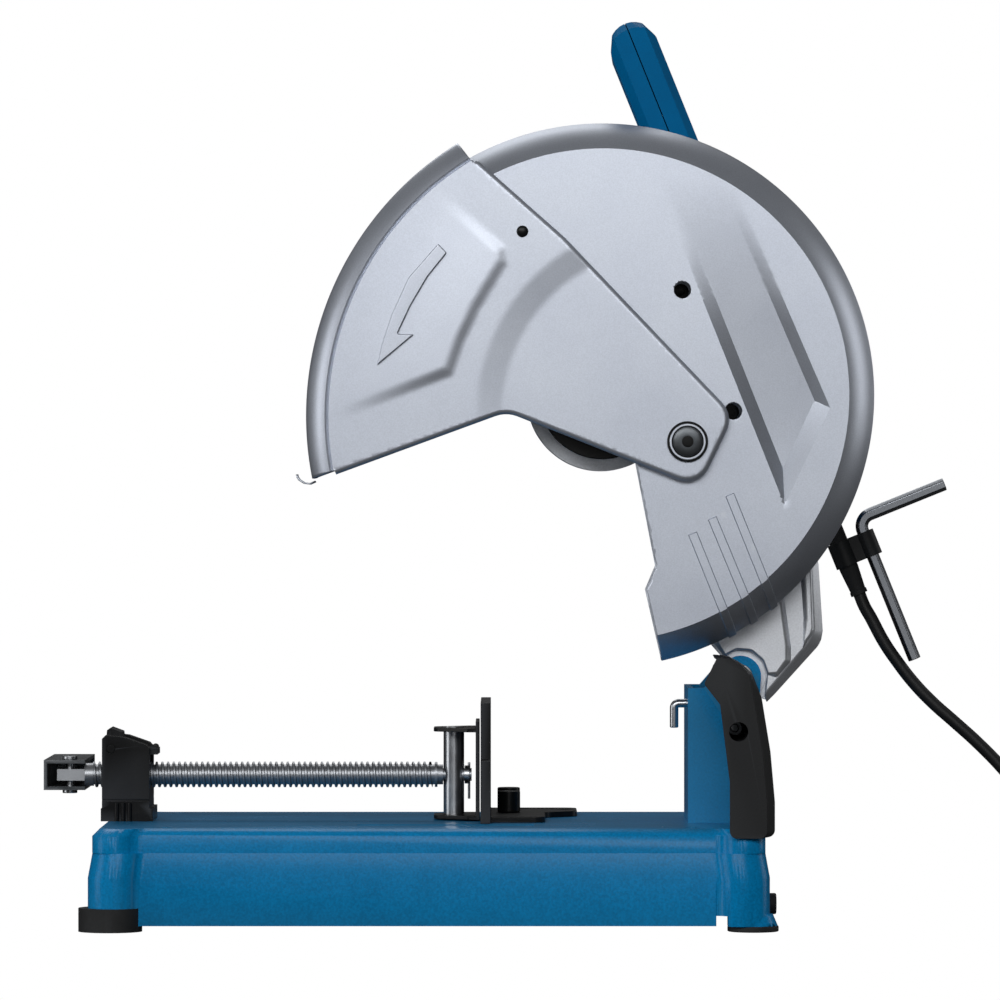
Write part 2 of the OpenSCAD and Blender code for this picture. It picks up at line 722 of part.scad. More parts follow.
// Arm casting: hinge hub, beam and gear case in one piece
wheel_c = [wheel_x, wheel_z];
motor_c = [motor_x, motor_z];
guard_screw_places = [wheel_c + [54.6, 72], wheel_c + [89.5, -11.1]];
guard_screw_r = 3;
beam_outline = rounded([for (p = [[-19.7, 21.1, 0], [-11.7, 12.1, 0], [17.8, -18.9, 5], [23.8, -12.9, 0],
        [55.3, 22.1, 10], [57.3, 31.1, 0], [54.3, 78.1, 0], [46.3, 103.1, 0], [24.3, 120.1, 0]])
            [pivot_x + p[0], pivot_z + p[1], p[2]], [wheel_x + 86, wheel_z - 21, 0],
        [wheel_x + 31, wheel_z - 36, 0], [wheel_x + 46, wheel_z - 66, 0],
        [pivot_x - 25.7, pivot_z + 68.1, 0]]);
// A straight bar of given width between two points of an outline
module link(p, q, w) {
    side = [p.y - q.y, q.x - p.x] / norm(q - p) * w / 2;
    polygon([p + side, q + side, q - side, p - side]);
}
module case_outline(inset) {
    translate(wheel_c) circle(case_r - inset);
    translate(motor_c) circle(case_pinion_r - inset);
    link(wheel_c, motor_c, 2 * (case_pinion_r - inset));
}
lug_outline = [for (p = concat(arc([0, 0], lug_r, 204, 232, 6), [[-4, -17], [-6, -14], [-14, -10]]))
    [pivot_x + p.x * cos(arm_drop) + p.y * sin(arm_drop),
        pivot_z - p.x * sin(arm_drop) + p.y * cos(arm_drop)]];
module gear_housing() {
    beam_y0 = case_y0 + 4;
    color(casting) difference() {
        union() {
            slab(case_y0, case_y1) {
                case_outline(0);
                for (p = guard_screw_places) {
                    translate(p) circle(12);
                    link(wheel_c, p, 22);
                }
            }
            slab(beam_y0, case_y1) polygon(beam_outline);
            for (p = guard_screw_places) bar_y(p.x, p.y, guard_y1, case_y0 + eps, 9);
            bar_y(wheel_x, wheel_z, nose_y0, case_y0 + eps, nose_r);
            bar_y(pivot_x, pivot_z, ear_y0 + 0.5, hub_y1, hub_r);
            bar_y(pivot_x, pivot_z, hub_y1 - eps, ear_y1 - 0.5, sleeve_r);
            slab(ear_y0 + 0.5, hub_y1) polygon(lug_outline);
            bar_y(pivot_x + spring_r + spring_wire / 2 + 3.3, pivot_z + spring_leg - 6, case_y1 - eps,
                hub_y1 + 2 * spring_wire, 3);
        }
        slab(case_y0 + case_wall, case_y1 + 1) case_outline(case_wall);
        bar_y(wheel_x, wheel_z, nose_y0 + 2, case_y1, bearing_r + 0.02);
        bar_y(wheel_x, wheel_z, nose_y0 - 1, case_y1, bearing_r - 5);
        bar_y(pivot_x, pivot_z, ear_y0, ear_y1, hinge_pin_d / 2 + run_fit);
        for (p = guard_screw_places) bar_y(p.x, p.y, guard_y1 - 1, case_y0 + 14, guard_screw_r + run_fit);
        translate([pivot_x, lock_y, pivot_z]) rotate([0, arm_drop, 0])
            bar_x(-lug_r - 2, -lug_bore_x, 0, lock_z - pivot_z, lock_r + loose);
    }
}
module bearing_plate() {
    color(casting) difference() {
        union() {
            slab(case_y1, plate_y1) case_outline(0);
            bar_y(motor_x, motor_z, case_y1, plate_y1, motor_r);
        }
        bar_y(wheel_x, wheel_z, case_y1 - 1, plate_y1 + 1, tail_bearing_r + 0.02);
        bar_y(motor_x, motor_z, case_y1 - 1, plate_y1 + 1, front_bearing_r + 0.02);
        bar_y(lock_button.x, lock_button.y, case_y1 - 1, plate_y1 + 1, lock_stem_r + run_fit);
    }
}
module ring_y(c, y0, y1, r_in, r_out) {
    difference() {
        bar_y(c.x, c.y, y0, y1, r_out);
        bar_y(c.x, c.y, y0 - 1, y1 + 1, r_in);
    }
}
module spindle_bearings() {
    color(steel) {
        ring_y(wheel_c, nose_y0 + 2, nose_y0 + 2 + bearing_w, spindle_r + 0.02, bearing_r);
        ring_y(wheel_c, case_y1, case_y1 + tail_bearing_w, tail_r + 0.02, tail_bearing_r);
    }
}
module motor_bearings() {
    color(steel) {
        ring_y(motor_c, case_y1, plate_y1, shaft_r + 0.02, front_bearing_r);
        ring_y(motor_c, rear_bearing_y, rear_bearing_y + rear_bearing_w, shaft_r - 1 + 0.02, rear_bearing_r);
    }
}

// Guards
open_side = [[41, -182], [30, -134], [37, -117.5], [23, -45], [-40, 20], [-181, 48.5]];
guard_profile = concat([[0, guard_y0], [guard_r - guard_edge_r, guard_y0]],
    arc([guard_r - guard_edge_r, guard_y0 + guard_edge_r], guard_edge_r, -81, 0, 8),
    [[guard_r, guard_y1], [0, guard_y1], [0, guard_y1 - guard_t], [guard_r - guard_t, guard_y1 - guard_t]],
    arc([guard_r - guard_edge_r, guard_y0 + guard_edge_r], guard_edge_r - guard_t, 0, -81, 8),
    [[guard_r - guard_edge_r, guard_y0 + guard_t], [0, guard_y0 + guard_t]]);
rib_ends = [[[62.5, -97.5], [88.5, -162]], [[76, -87], [103, -152]], [[88, -71], [117, -143]]];
module fixed_guard() {
    far = 2 * guard_r;
    color(silver) difference() {
        union() {
            turned(wheel_x, wheel_z) polygon(guard_profile);
            slab(guard_y0 - 1.2, guard_y0 + eps) for (r = rib_ends) link(wheel_c + r[0], wheel_c + r[1], 6.5);
        }
        slab(guard_y0 - 2, guard_y1 + 1)
            polygon([for (p = concat([[60, -far]], open_side, [[-far, 80], [-far, -far]])) wheel_c + p]);
        bar_y(wheel_x, wheel_z, guard_y1 - guard_t - 1, guard_y1 + 1, nose_r + loose);
        bar_y(fan_x, fan_z, guard_y0 - 2, guard_y0 + guard_t + 1, fan_stud_r + run_fit);
        for (p = guard_screw_places) {
            bar_y(p.x, p.y, guard_y0 - 2, guard_y0 + guard_t + 1, 6);
            bar_y(p.x, p.y, guard_y1 - guard_t - 1, guard_y1 + 1, guard_screw_r + run_fit);
        }
    }
}
module guard_screws() {
    color(steel) for (p = guard_screw_places) difference() {
        union() {
            bar_y(p.x, p.y, guard_y1 - guard_t - eps, case_y0 + 12, guard_screw_r);
            bar_y(p.x, p.y, guard_y1 - guard_t - 4, guard_y1 - guard_t, 5.5);
        }
        hex_socket(p.x, p.y, guard_y1 - guard_t - 1.5);
    }
}
fan_stud_r = fan_bolt_d / 2 - 2;
module guard_pivot_bolt() {
    color(black) {
        bar_y(fan_x, fan_z, fan_y0 - 6, fan_y0 - 2.5, 10);
        bar_y(fan_x, fan_z, fan_y0 - 2.6, fan_y0 - 0.1, 14);
        bar_y(fan_x, fan_z, fan_y0 - 1, guard_y0, fan_bolt_d / 2);
        bar_y(fan_x, fan_z, guard_y0 - eps, guard_y0 + guard_t + 5, fan_stud_r);
        translate([fan_x, guard_y0 + guard_t + 5.5, fan_z]) rotate([90, 0, 0])
            cylinder(h = 5.5, r = 10, $fn = 6);
    }
}
guard_wire = 1.4;
guard_curls = 2;
guard_curl_r = (fan_bolt_d / 2 + 0.5 + guard_wire / 2) / cos(22.5);
guard_curl_pitch = (fan_gap - guard_wire - 0.8) / guard_curls;
function guard_curl(s) = [fan_x + guard_curl_r * cos(360 * s),
    guard_y0 - 0.4 - guard_wire / 2 - guard_curl_pitch * s,
    fan_z + guard_curl_r * sin(360 * s)];
guard_spring_path = concat([for (i = [2:-1:1]) guard_curl(0) - [0, 0, 6 * i]],
    [for (i = [0:8 * guard_curls]) guard_curl(i / 8)],
    [for (i = [1:2]) guard_curl(guard_curls) + [0, 0, 6 * i]]);
module guard_spring() {
    color(steel) tube(guard_spring_path, guard_wire / 2, 6);
}

// Moving guard, a fan about its own bolt
fan_c = [fan_x - 41, fan_z + 17.7];
fan_a0 = 191.7;
fan_a1 = 122.4;
fan_rim = 15;
fan_tuck = 0.3;
module fan_outline() {
    p = [fan_x, fan_z];
    polygon(concat(arc(fan_c, fan_r - guard_t / 2, fan_a0 - fan_tuck, fan_a1 + fan_tuck, 24),
        [p + [-147.8, 192.1], p + [-85.8, 137.1]],
        corner(p + [-85.8, 137.1], p + [28.2, 17.6], p + [6.2, -27.9], 14),
        corner(p + [28.2, 17.6], p + [6.2, -27.9], p + [-123.8, 23.7], 14),
        corner(p + [6.2, -27.9], p + [-123.8, 23.7], p + [-256.3, -26.9], 60)));
}
module rim_band(y0, y1, depth) {
    translate([fan_c.x, y1, fan_c.y]) rotate([90, 0, 0]) rotate([0, 0, fan_a1])
        rotate_extrude(angle = fan_a0 - fan_a1) translate([fan_r - depth, 0]) square([depth, y1 - y0]);
}
fan_screw = [fan_x - 113, fan_z + 143.8];
module moving_guard() {
    color(silver) difference() {
        union() {
            slab(fan_y0, fan_y1) fan_outline();
            rim_band(fan_y0, fan_lip_y + guard_t, guard_t);
            rim_band(fan_lip_y, fan_lip_y + guard_t, fan_rim);
        }
        bar_y(fan_x, fan_z, fan_y0 - 1, fan_y1 + 1, fan_bolt_d / 2 + run_fit);
        bar_y(fan_screw.x, fan_screw.y, fan_y0 - 1, fan_y1 + 1, 2 + run_fit);
    }
}
module moving_guard_screw() {
    color(steel) {
        bar_y(fan_screw.x, fan_screw.y, fan_y0 - 2, fan_y0, 4);
        bar_y(fan_screw.x, fan_screw.y, fan_y0 - eps, fan_y1 + eps, 2);
        bar_y(fan_screw.x, fan_screw.y, fan_y1, fan_y1 + 2.5, 4);
    }
}

// Spindle and clamp flanges, with the wheel left off
shoulder_y = seat_y + 11.5;
outer_y1 = seat_y - arbor_len;
wheel_bolt_r = 5;
module spindle() {
    color(steel) difference() {
        union() {
            bar_y(wheel_x, wheel_z, outer_y1 + 0.2, case_y0 + 1, spindle_r);
            bar_y(wheel_x, wheel_z, shoulder_y, nose_y0 - 1, spindle_r + 3.5);
            bar_y(wheel_x, wheel_z, case_y0 + 0.1, gear_y1, spindle_r + 1.5);
            bar_y(wheel_x, wheel_z, gear_y0 - 4, gear_y0, spindle_r + 4.5);
            bar_y(wheel_x, wheel_z, gear_y1 - eps, case_y1 + tail_bearing_w - 0.5, tail_r);
        }
        bar_y(wheel_x, wheel_z, outer_y1 - 1, nose_y0 + 2, wheel_bolt_r + run_fit);
    }
}
module inner_flange() {
    color(steel) difference() {
        union() {
            bar_y(wheel_x, wheel_z, seat_y, seat_y + 8, flange_d / 2);
            bar_y(wheel_x, wheel_z, seat_y + 8 - eps, shoulder_y, spindle_r + 8);
            bar_y(wheel_x, wheel_z, outer_y1, seat_y + eps, arbor_d / 2);
        }
        bar_y(wheel_x, wheel_z, outer_y1 - 1, shoulder_y + 1, spindle_r + 0.02);
        ring_y(wheel_c, seat_y - 1, seat_y + 1, arbor_d / 2 + 2, flange_d / 2 - 8);
    }
}
module outer_flange() {
    color("#3A3C40") difference() {
        union() {
            bar_y(wheel_x, wheel_z, outer_y1 - 4, outer_y1, flange_d / 2);
            bar_y(wheel_x, wheel_z, outer_y1 - flange_t, outer_y1, flange_d / 2 - 9);
        }
        bar_y(wheel_x, wheel_z, outer_y1 - flange_t - 1, outer_y1 + 1, wheel_bolt_r + run_fit);
    }
}
module wheel_bolt() {
    color(steel) {
        bar_y(wheel_x, wheel_z, outer_y1 - flange_t - 1, nose_y0, wheel_bolt_r);
        bar_y(wheel_x, wheel_z, outer_y1 - flange_t - 2, outer_y1 - flange_t, 12);
        translate([wheel_x, outer_y1 - flange_t - 2 + eps, wheel_z]) rotate([90, 0, 0])
            cylinder(h = 7, r = 9.8, $fn = 6);
    }
}

// Reduction gears with involute flanks
function involute(a) = tan(a) * 180 / PI - a;
function half_tooth(r, base) = involute(20) - involute(acos(min(1, base / max(r, base))));
function gear_outline(teeth, tip, slack) =
    let (pr = gear_module * teeth / 2, base = pr * cos(20), low = pr - 1.25 * gear_module,
        high = pr + tip * gear_module, radii = [for (k = [0:4]) low + (high - low) * k / 4],
        half = [for (r = radii) 90 / teeth - slack + half_tooth(r, base)])
    [for (i = [0:teeth - 1]) let (mid = 360 * i / teeth) each concat(
        [for (k = [0:4]) radii[k] * [cos(mid - half[k]), sin(mid - half[k])]],
        [for (k = [4:-1:0]) radii[k] * [cos(mid + half[k]), sin(mid + half[k])]])];
gear_slack = 0.35;
module drive_gear() {
    color(steel) difference() {
        slab(gear_y0, gear_y1) translate(wheel_c) rotate(drive_angle)
            polygon(gear_outline(gear_teeth, 0.75, gear_slack));
        bar_y(wheel_x, wheel_z, gear_y0 - 1, gear_y1 + 1, spindle_r + 1.52);
        for (i = [0:5]) let (p = wheel_c + lock_ring_r * [cos(210 + 60 * i), sin(210 + 60 * i)])
            bar_y(p.x, p.y, gear_y1 - 6, gear_y1 + 1, lock_stem_r + loose);
    }
}
pinion_bore_r = shaft_r - 1.5;
module pinion() {
    color(steel) difference() {
        slab(gear_y0 - 2, gear_y1 + 2) translate(motor_c) rotate(drive_angle + 180 + 180 / pinion_teeth)
            polygon(gear_outline(pinion_teeth, 0.85, gear_slack * gear_teeth / pinion_teeth));
        bar_y(motor_x, motor_z, gear_y0 - 3, gear_y1 + 3, pinion_bore_r + 0.02);
    }
}

// Motor
inner_r = motor_r - motor_wall;
brush_angle = 90 + lean;
brush_w = 10;
brush_h = 6;
brush_cap_r = 6;
cap_screw_ring = inner_r - 6.4;
cap_screw_r = 2.5;
cap_screw_places = [for (i = [0:3]) let (a = lean + 45 + 90 * i)
    motor_c + cap_screw_ring * [cos(a), sin(a)]];
// A frame whose x runs outwards from the motor axis
module radial(a) {
    translate([motor_x, 0, motor_z]) rotate([0, -a, 0]) children();
}
module motor_housing() {
    color(blue) difference() {
        union() {
            ring_y(motor_c, plate_y1, motor_y1, inner_r, motor_r);
            for (p = cap_screw_places) bar_y(p.x, p.y, stack_y1 + 2, motor_y1, 6.6);
            for (s = [0, 180]) radial(brush_angle + s)
                box(commutator_r + 10, inner_r + 1, brush_y - 8, brush_y + 8,
                    -brush_h / 2 - 5, brush_h / 2 + 5);
        }
        for (p = cap_screw_places) bar_y(p.x, p.y, stack_y1 + 6, motor_y1 + 1, cap_screw_r + run_fit);
        for (s = [0, 180]) radial(brush_angle + s) {
            box(0, motor_r + 5, brush_y - brush_w / 2 - 0.1, brush_y + brush_w / 2 + 0.1,
                -brush_h / 2 - 0.1, brush_h / 2 + 0.1);
            bar_x(inner_r - 9, motor_r + 5, brush_y, 0, brush_cap_r + run_fit);
        }
    }
}
module brushes() {
    color("#2B2B2B") for (s = [0, 180]) radial(brush_angle + s)
        box(commutator_r + 0.3, inner_r - 10, brush_y - brush_w / 2, brush_y + brush_w / 2,
            -brush_h / 2, brush_h / 2);
}
module brush_caps() {
    color(black) for (s = [0, 180]) radial(brush_angle + s) difference() {
        bar_x(inner_r - 8.8, motor_r + 1.5, brush_y, 0, brush_cap_r);
        box(motor_r, motor_r + 3, brush_y - brush_cap_r - 1, brush_y + brush_cap_r + 1, -0.8, 0.8);
    }
}
module field_core() {
    color(copper) ring_y(motor_c, stack_y0, stack_y1, core_d / 2 + air_gap, inner_r - 0.1);
}
cap_wall = 3;
module motor_end_cap() {
    color(black) difference() {
        union() {
            difference() {
                turned(motor_x, motor_z) polygon([[0, motor_y1], [motor_r, motor_y1], [motor_r, cap_y1 - 10],
                    [motor_r - 3, cap_y1 - 3.5], [motor_r - 10, cap_y1], [0, cap_y1]]);
                bar_y(motor_x, motor_z, motor_y1 - 1, cap_y1 - cap_wall - 4, motor_r - cap_wall - 1);
            }
            bar_y(motor_x, motor_z, rear_bearing_y, cap_y1 - 1, rear_bearing_r + 4);
            for (p = cap_screw_places) bar_y(p.x, p.y, motor_y1, cap_y1 - 1, 6.2);
        }
        bar_y(motor_x, motor_z, motor_y1 - 1, rear_bearing_y + rear_bearing_w + 3, rear_bearing_r + 0.02);
        for (p = cap_screw_places) {
            bar_y(p.x, p.y, motor_y1 - 1, cap_y1 + 1, cap_screw_r + run_fit);
            bar_y(p.x, p.y, cap_y1 - 6, cap_y1 + 1, 4.6);
        }
        for (i = [0:11]) radial(lean + 30 * i) for (r = [24, 34])
            box(r, r + 7, cap_y1 - 9, cap_y1 + 1, -2, 2);
    }
}
module end_cap_screws() {
    color(steel) for (p = cap_screw_places) {
        bar_y(p.x, p.y, motor_y1 - 18, cap_y1 - 5, cap_screw_r);
        bar_y(p.x, p.y, cap_y1 - 6, cap_y1 - 2, 4.4);
    }
}
module armature() {
    color(copper) {
        bar_y(motor_x, motor_z, gear_y0 - 2.5, gear_y1 + 2, pinion_bore_r);
        bar_y(motor_x, motor_z, gear_y1 + 2, rear_bearing_y - 0.5, shaft_r);
        bar_y(motor_x, motor_z, rear_bearing_y - 1, rear_bearing_y + rear_bearing_w + 0.5, shaft_r - 1);
        bar_y(motor_x, motor_z, stack_y0, stack_y1, core_d / 2);
        bar_y(motor_x, motor_z, stack_y0 - 6, stack_y1 + 6, core_d / 2 - 4);
        bar_y(motor_x, motor_z, brush_y - 9, brush_y + 9, commutator_r);
    }
}
fan_wheel_y0 = plate_y1 + 4;
fan_wheel_w = 13;
fan_wheel_r = inner_r - 8;
module fan() {
    color(black) difference() {
        union() {
            bar_y(motor_x, motor_z, fan_wheel_y0, fan_wheel_y0 + 2.5, fan_wheel_r);
            bar_y(motor_x, motor_z, fan_wheel_y0, fan_wheel_y0 + fan_wheel_w, shaft_r + 6);
            for (i = [0:8]) radial(40 * i)
                box(shaft_r + 8, fan_wheel_r - 1, fan_wheel_y0 + 2, fan_wheel_y0 + fan_wheel_w, -1.2, 1.2);
        }
        bar_y(motor_x, motor_z, fan_wheel_y0 - 1, fan_wheel_y0 + fan_wheel_w + 1, shaft_r + 0.02);
    }
}
lock_ring_r = gear_pd / 2 - 9;
lock_button = wheel_c + lock_ring_r * [cos(210), sin(210)];
lock_stem_r = 4;
module spindle_lock_button() {
    color(black) {
        bar_y(lock_button.x, lock_button.y, gear_y1 + 5, plate_y1 + 6, lock_stem_r);
        bar_y(lock_button.x, lock_button.y, plate_y1 + 4.5, plate_y1 + 11, lock_stem_r + 4);
    }
}

// Handle: two shells split on the leaning plane
module leaning() {
    translate([motor_x, 0, motor_z]) rotate([0, -lean, 0]) children();
}
module along_n(n0, n1) {
    translate([n0, 0, 0]) rotate([90, 0, 90]) linear_extrude(n1 - n0) children();
}
loop_y0 = handle_y - handle_w / 2;
loop_y1 = handle_y + handle_w / 2;
module handle_outline(inset) {
    s0 = handle_y - spine_w / 2 + inset;
    s1 = handle_y + spine_w / 2 - inset;
    top = grip_h + grip_t / 2 - inset;
    g0 = loop_y0 + leg_w - inset;
    g1 = loop_y1 - leg_w + inset;
    difference() {
        polygon(rounded([[loop_y0 + inset, top, loop_corner], [loop_y0 + inset, loop_low + inset, 22],
            [s0, loop_low + inset, 8], [s0, spine_low + inset, 4], [s1, spine_low + inset, 4],
            [s1, loop_low + inset, 8],
            [loop_y1 - inset, loop_low + inset, 22], [loop_y1 - inset, top, loop_corner]]));
        polygon(rounded([for (p = [[g0, gap_low - inset], [g1, gap_low - inset],
            [g1, gap_top + inset], [g0, gap_top + inset]]) [p.x, p.y, 14]]));
    }
}
handle_screw_places = [[loop_y0 + leg_w / 2, gap_low + 30], [loop_y1 - leg_w / 2, gap_low + 30],
    [handle_y - 18, loop_low - 12], [handle_y + 18, loop_low - 12], [handle_y, -75],
    [handle_y - 16, spine_low + 16]];
handle_screw_r = 2;
// What lies outside the rounded top of the grip
module grip_corners(r) {
    difference() {
        box(spine_n - grip_t, spine_n + grip_t, loop_y0 - 1, loop_y1 + 1, grip_h, grip_h + grip_t);
        bar_y(spine_n, grip_h, loop_y0 - 2, loop_y1 + 2, r);
    }
}
module handle_shell(side) {
    n0 = side > 0 ? spine_n : spine_n - half_n;
    n1 = side > 0 ? spine_n + half_n : spine_n;
    color(side > 0 ? dark_blue : blue) leaning() difference() {
        union() {
            difference() {
                along_n(n0, n1) handle_outline(0);
                difference() {
                    along_n(spine_n - half_n + shell_t, spine_n + half_n - shell_t) handle_outline(shell_t);
                    grip_corners(half_n - shell_t);
                }
                grip_corners(half_n);
            }
            for (p = handle_screw_places) bar_x(n0 + 1, side > 0 ? n1 - 1 : n1, p.x, p.y, 5);
        }
        for (p = handle_screw_places) {
            bar_x(spine_n - half_n + 3, spine_n + half_n + 1, p.x, p.y, handle_screw_r + run_fit);
            bar_x(spine_n + half_n - 3, spine_n + half_n + 1, p.x, p.y, 4.2);
        }
        bar_y(0, 0, plate_y1 - 2, motor_y1 + 1, motor_r + 0.1);
        box(spine_n - trigger_n - loose, spine_n + trigger_n + loose, handle_y - trigger_w / 2 - loose,
            handle_y + trigger_w / 2 + loose, gap_top - 4, gap_top + 8);
        bar_y(spine_n, button_h, loop_y1 - 6, loop_y1 + 3, button_r + run_fit);
        bar_z(relief_n, handle_y, spine_low - 1, spine_low + shell_t + 1, relief_r + run_fit);
    }
}
module handle_front_shell() {
    handle_shell(-1);
}
module handle_rear_shell() {
    handle_shell(1);
}
module handle_screws() {
    color(steel) leaning() for (p = handle_screw_places) {
        bar_x(spine_n - half_n + 5, spine_n + half_n - 2.5, p.x, p.y, handle_screw_r);
        bar_x(spine_n + half_n - 3, spine_n + half_n - 0.5, p.x, p.y, 4);
    }
}
module switch_module() {
    color(black) leaning() box(spine_n - 9, spine_n + 9, handle_y + trigger_w / 2 + 2, loop_y1 - 16,
        gap_top + shell_t + 0.1, gap_top + shell_t + 17);
}
module trigger() {
    color(rubber) leaning() {
        box(spine_n - trigger_n, spine_n + trigger_n, handle_y - trigger_w / 2, handle_y + trigger_w / 2,
            gap_top - trigger_travel - 2, gap_top + 5);
        box(spine_n - 10, spine_n + 10, handle_y - trigger_w / 2 - 1.5, handle_y + trigger_w / 2 + 1.5,
            gap_top + shell_t + 0.2, gap_top + shell_t + 8);
    }
}
module lock_off_button() {
    color(rubber) leaning() {
        bar_y(spine_n, button_h, loop_y1 - 8.5, loop_y1 + 4.5, button_r);
        bar_y(spine_n, button_h, loop_y1 - 9.5, loop_y1 - 6.5, button_r + 2);
    }
}
module strain_relief() {
    color(rubber) leaning() {
        bar_z(relief_n, handle_y, clip_h0 - 2, spine_low + shell_t + 0.2, relief_r);
        bar_z(relief_n, handle_y, spine_low + shell_t + 0.1, spine_low + shell_t + 4, relief_r + 0.6);
        translate([relief_n, handle_y, relief_low])
            cylinder(h = clip_h0 - 2 - relief_low, r1 = relief_end_r, r2 = relief_r);
        bar_z(relief_n, handle_y, relief_low, relief_low + 3, relief_end_r + 0.8);
    }
}
module key_clip() {
    color(black) leaning() difference() {
        union() {
            bar_z(relief_n, handle_y, clip_h0, clip_h1, relief_r + 1.6);
            bar_z(key_n, handle_y, clip_h0, clip_h1, key_r + 2.5);
            box(relief_n, key_n, handle_y - 5, handle_y + 5, clip_h0, clip_h1);
        }
        bar_z(relief_n, handle_y, clip_h0 - 1, clip_h1 + 1, relief_r + run_fit);
        translate([key_n, handle_y, clip_h0 - 1])
            cylinder(h = clip_h1 - clip_h0 + 2, r = key_r + 0.1, $fn = 6);
    }
}
key_bend_r = 9;
module hex_key() {
    hexagon = [for (i = [0:5]) key_r * [cos(60 * i), sin(60 * i)]];
    color(steel) leaning() translate([key_n, handle_y, key_bend_h]) {
        translate([0, 0, -key_long]) linear_extrude(key_long - key_bend_r) polygon(hexagon);
        translate([key_bend_r, 0, -key_bend_r]) rotate([90, 0, 0]) rotate([0, 0, 90])
            rotate_extrude(angle = 90, $fn = 48) translate([key_bend_r, 0]) polygon(hexagon);
        translate([key_bend_r, 0, 0]) rotate([0, 90, 0])
            linear_extrude(key_short - key_bend_r) polygon(hexagon);
    }
}

// Cord: a lead to the floor, a coil of two layers and a plug
function lean_point(n, h) = [motor_x + n * cos(lean) - h * sin(lean), handle_y,
    motor_z + n * sin(lean) + h * cos(lean)];
coil_low = cord_d / 2 + coil_tie;
coil_top = coil_low + coil_layer;
coil_out = coil_in + coil_pitch * coil_turns;
coil_y = handle_y + coil_out;
relief_end = lean_point(relief_n, relief_low);
lead_path = concat([relief_end, lean_point(relief_n, relief_low - cord_d)],
    [for (p = lead_points) [p.x, handle_y, p.y]],
    [[coil_x - 2 * cord_d, handle_y, coil_top], [coil_x - cord_d, handle_y, coil_top]]);
module cord_lead() {
    color(rubber) tube(lead_path, cord_d / 2, 8);
}
// The coil winds in on top, drops a layer in half a turn and winds out on the floor
function ease(x) = x <= 0 ? 0 : x >= 1 ? 1 : x * x * (3 - 2 * x);
function coil_point(s) = let (r = coil_in + coil_pitch * abs(s - coil_turns), a = 360 * s - 90)
    [coil_x + r * cos(a), coil_y + r * sin(a), coil_top - coil_layer * ease(2 * (s - coil_turns) + 0.5)];
tail_bend = 60;
plug_h = 10;
function tail_point(a) = [coil_x + tail_bend * sin(a), handle_y - tail_bend + tail_bend * cos(a),
    coil_low + (plug_h - coil_low) * ease((a - 15) / 27)];
plug_turn = 45;
tail_end = tail_point(plug_turn) + cord_d * [cos(plug_turn), -sin(plug_turn), 0];
coil_path = concat([[coil_x - cord_d, handle_y, coil_top]],
    [for (i = [0:48 * coil_turns]) coil_point(i / 24)],
    [for (a = [9:9:plug_turn]) tail_point(a)], [tail_end]);
module cord_coil() {
    color(rubber) tube(coil_path, cord_d / 2, 6);
}
echo(coil_gap = least_gap(coil_path, cord_d / 2, 6), spring_gap = spring_pitch - spring_wire,
    guard_spring_gap = guard_curl_pitch - guard_wire);
module plug() {
    color(black) translate(tail_end) rotate([0, 0, -plug_turn]) {
        bar_x(0, 14, 0, 0, 6.5);
        box(13, 46, -14, 14, -plug_h + 0.2, plug_h - 0.2);
        for (s = [-1, 1]) bar_x(45, 64, s * 9.5, 0, 2.4);
    }
}

base_pan();
front_feet();
rear_feet();
rear_bumpers();
hinge_bracket();
base_bolts();
hinge_pin();
return_spring();
spark_hood();
hood_screw();
nut_block();
fence_bolts();
lever_pin();
gear_housing();
bearing_plate();
fixed_guard();
guard_screws();
guard_pivot_bolt();
guard_spring();
motor_housing();
motor_end_cap();
end_cap_screws();
field_core();
spindle_bearings();
motor_bearings();
brushes();
brush_caps();
handle_front_shell();
handle_rear_shell();
handle_screws();
switch_module();
strain_relief();
key_clip();
moving_guard();
moving_guard_screw();
spindle();
drive_gear();
inner_flange();
outer_flange();
wheel_bolt();
armature();
pinion();
fan();
trigger();
lock_off_button();
spindle_lock_button();
lock_pin();
vise_pin();
vise_screw();
screw_retainer();
crank_arm();
crank_pin();
jaw();
fence();
clamp_lever();
half_nut();
hex_key();
cord_lead();
cord_coil();
plug();
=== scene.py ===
import json
import math

import bmesh
import bpy
from mathutils import Matrix, Vector


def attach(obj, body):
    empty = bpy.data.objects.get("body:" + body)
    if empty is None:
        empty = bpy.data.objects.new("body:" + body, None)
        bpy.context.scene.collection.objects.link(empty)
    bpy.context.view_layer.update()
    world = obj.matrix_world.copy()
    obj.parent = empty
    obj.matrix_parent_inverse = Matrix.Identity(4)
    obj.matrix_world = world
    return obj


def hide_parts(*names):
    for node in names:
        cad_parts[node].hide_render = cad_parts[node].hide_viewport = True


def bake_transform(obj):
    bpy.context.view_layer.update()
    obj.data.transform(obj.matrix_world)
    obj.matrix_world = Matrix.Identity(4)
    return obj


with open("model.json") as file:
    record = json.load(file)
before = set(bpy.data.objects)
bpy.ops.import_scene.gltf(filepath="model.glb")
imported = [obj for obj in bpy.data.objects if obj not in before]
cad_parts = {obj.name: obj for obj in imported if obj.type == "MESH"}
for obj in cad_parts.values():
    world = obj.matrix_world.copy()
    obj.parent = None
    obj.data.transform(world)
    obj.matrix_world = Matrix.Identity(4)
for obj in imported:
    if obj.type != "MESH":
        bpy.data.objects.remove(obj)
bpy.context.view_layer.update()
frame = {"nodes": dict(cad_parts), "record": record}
nodes = frame["nodes"]
bodyOf = {node: body for body, held in frame["record"]["behaviour"]["bodies"].items() for node in held}
slotOf = {row["node"]: row["material_slot"] for row in frame["record"]["subparts"]}
print("frame loaded:", len(nodes), "solids")

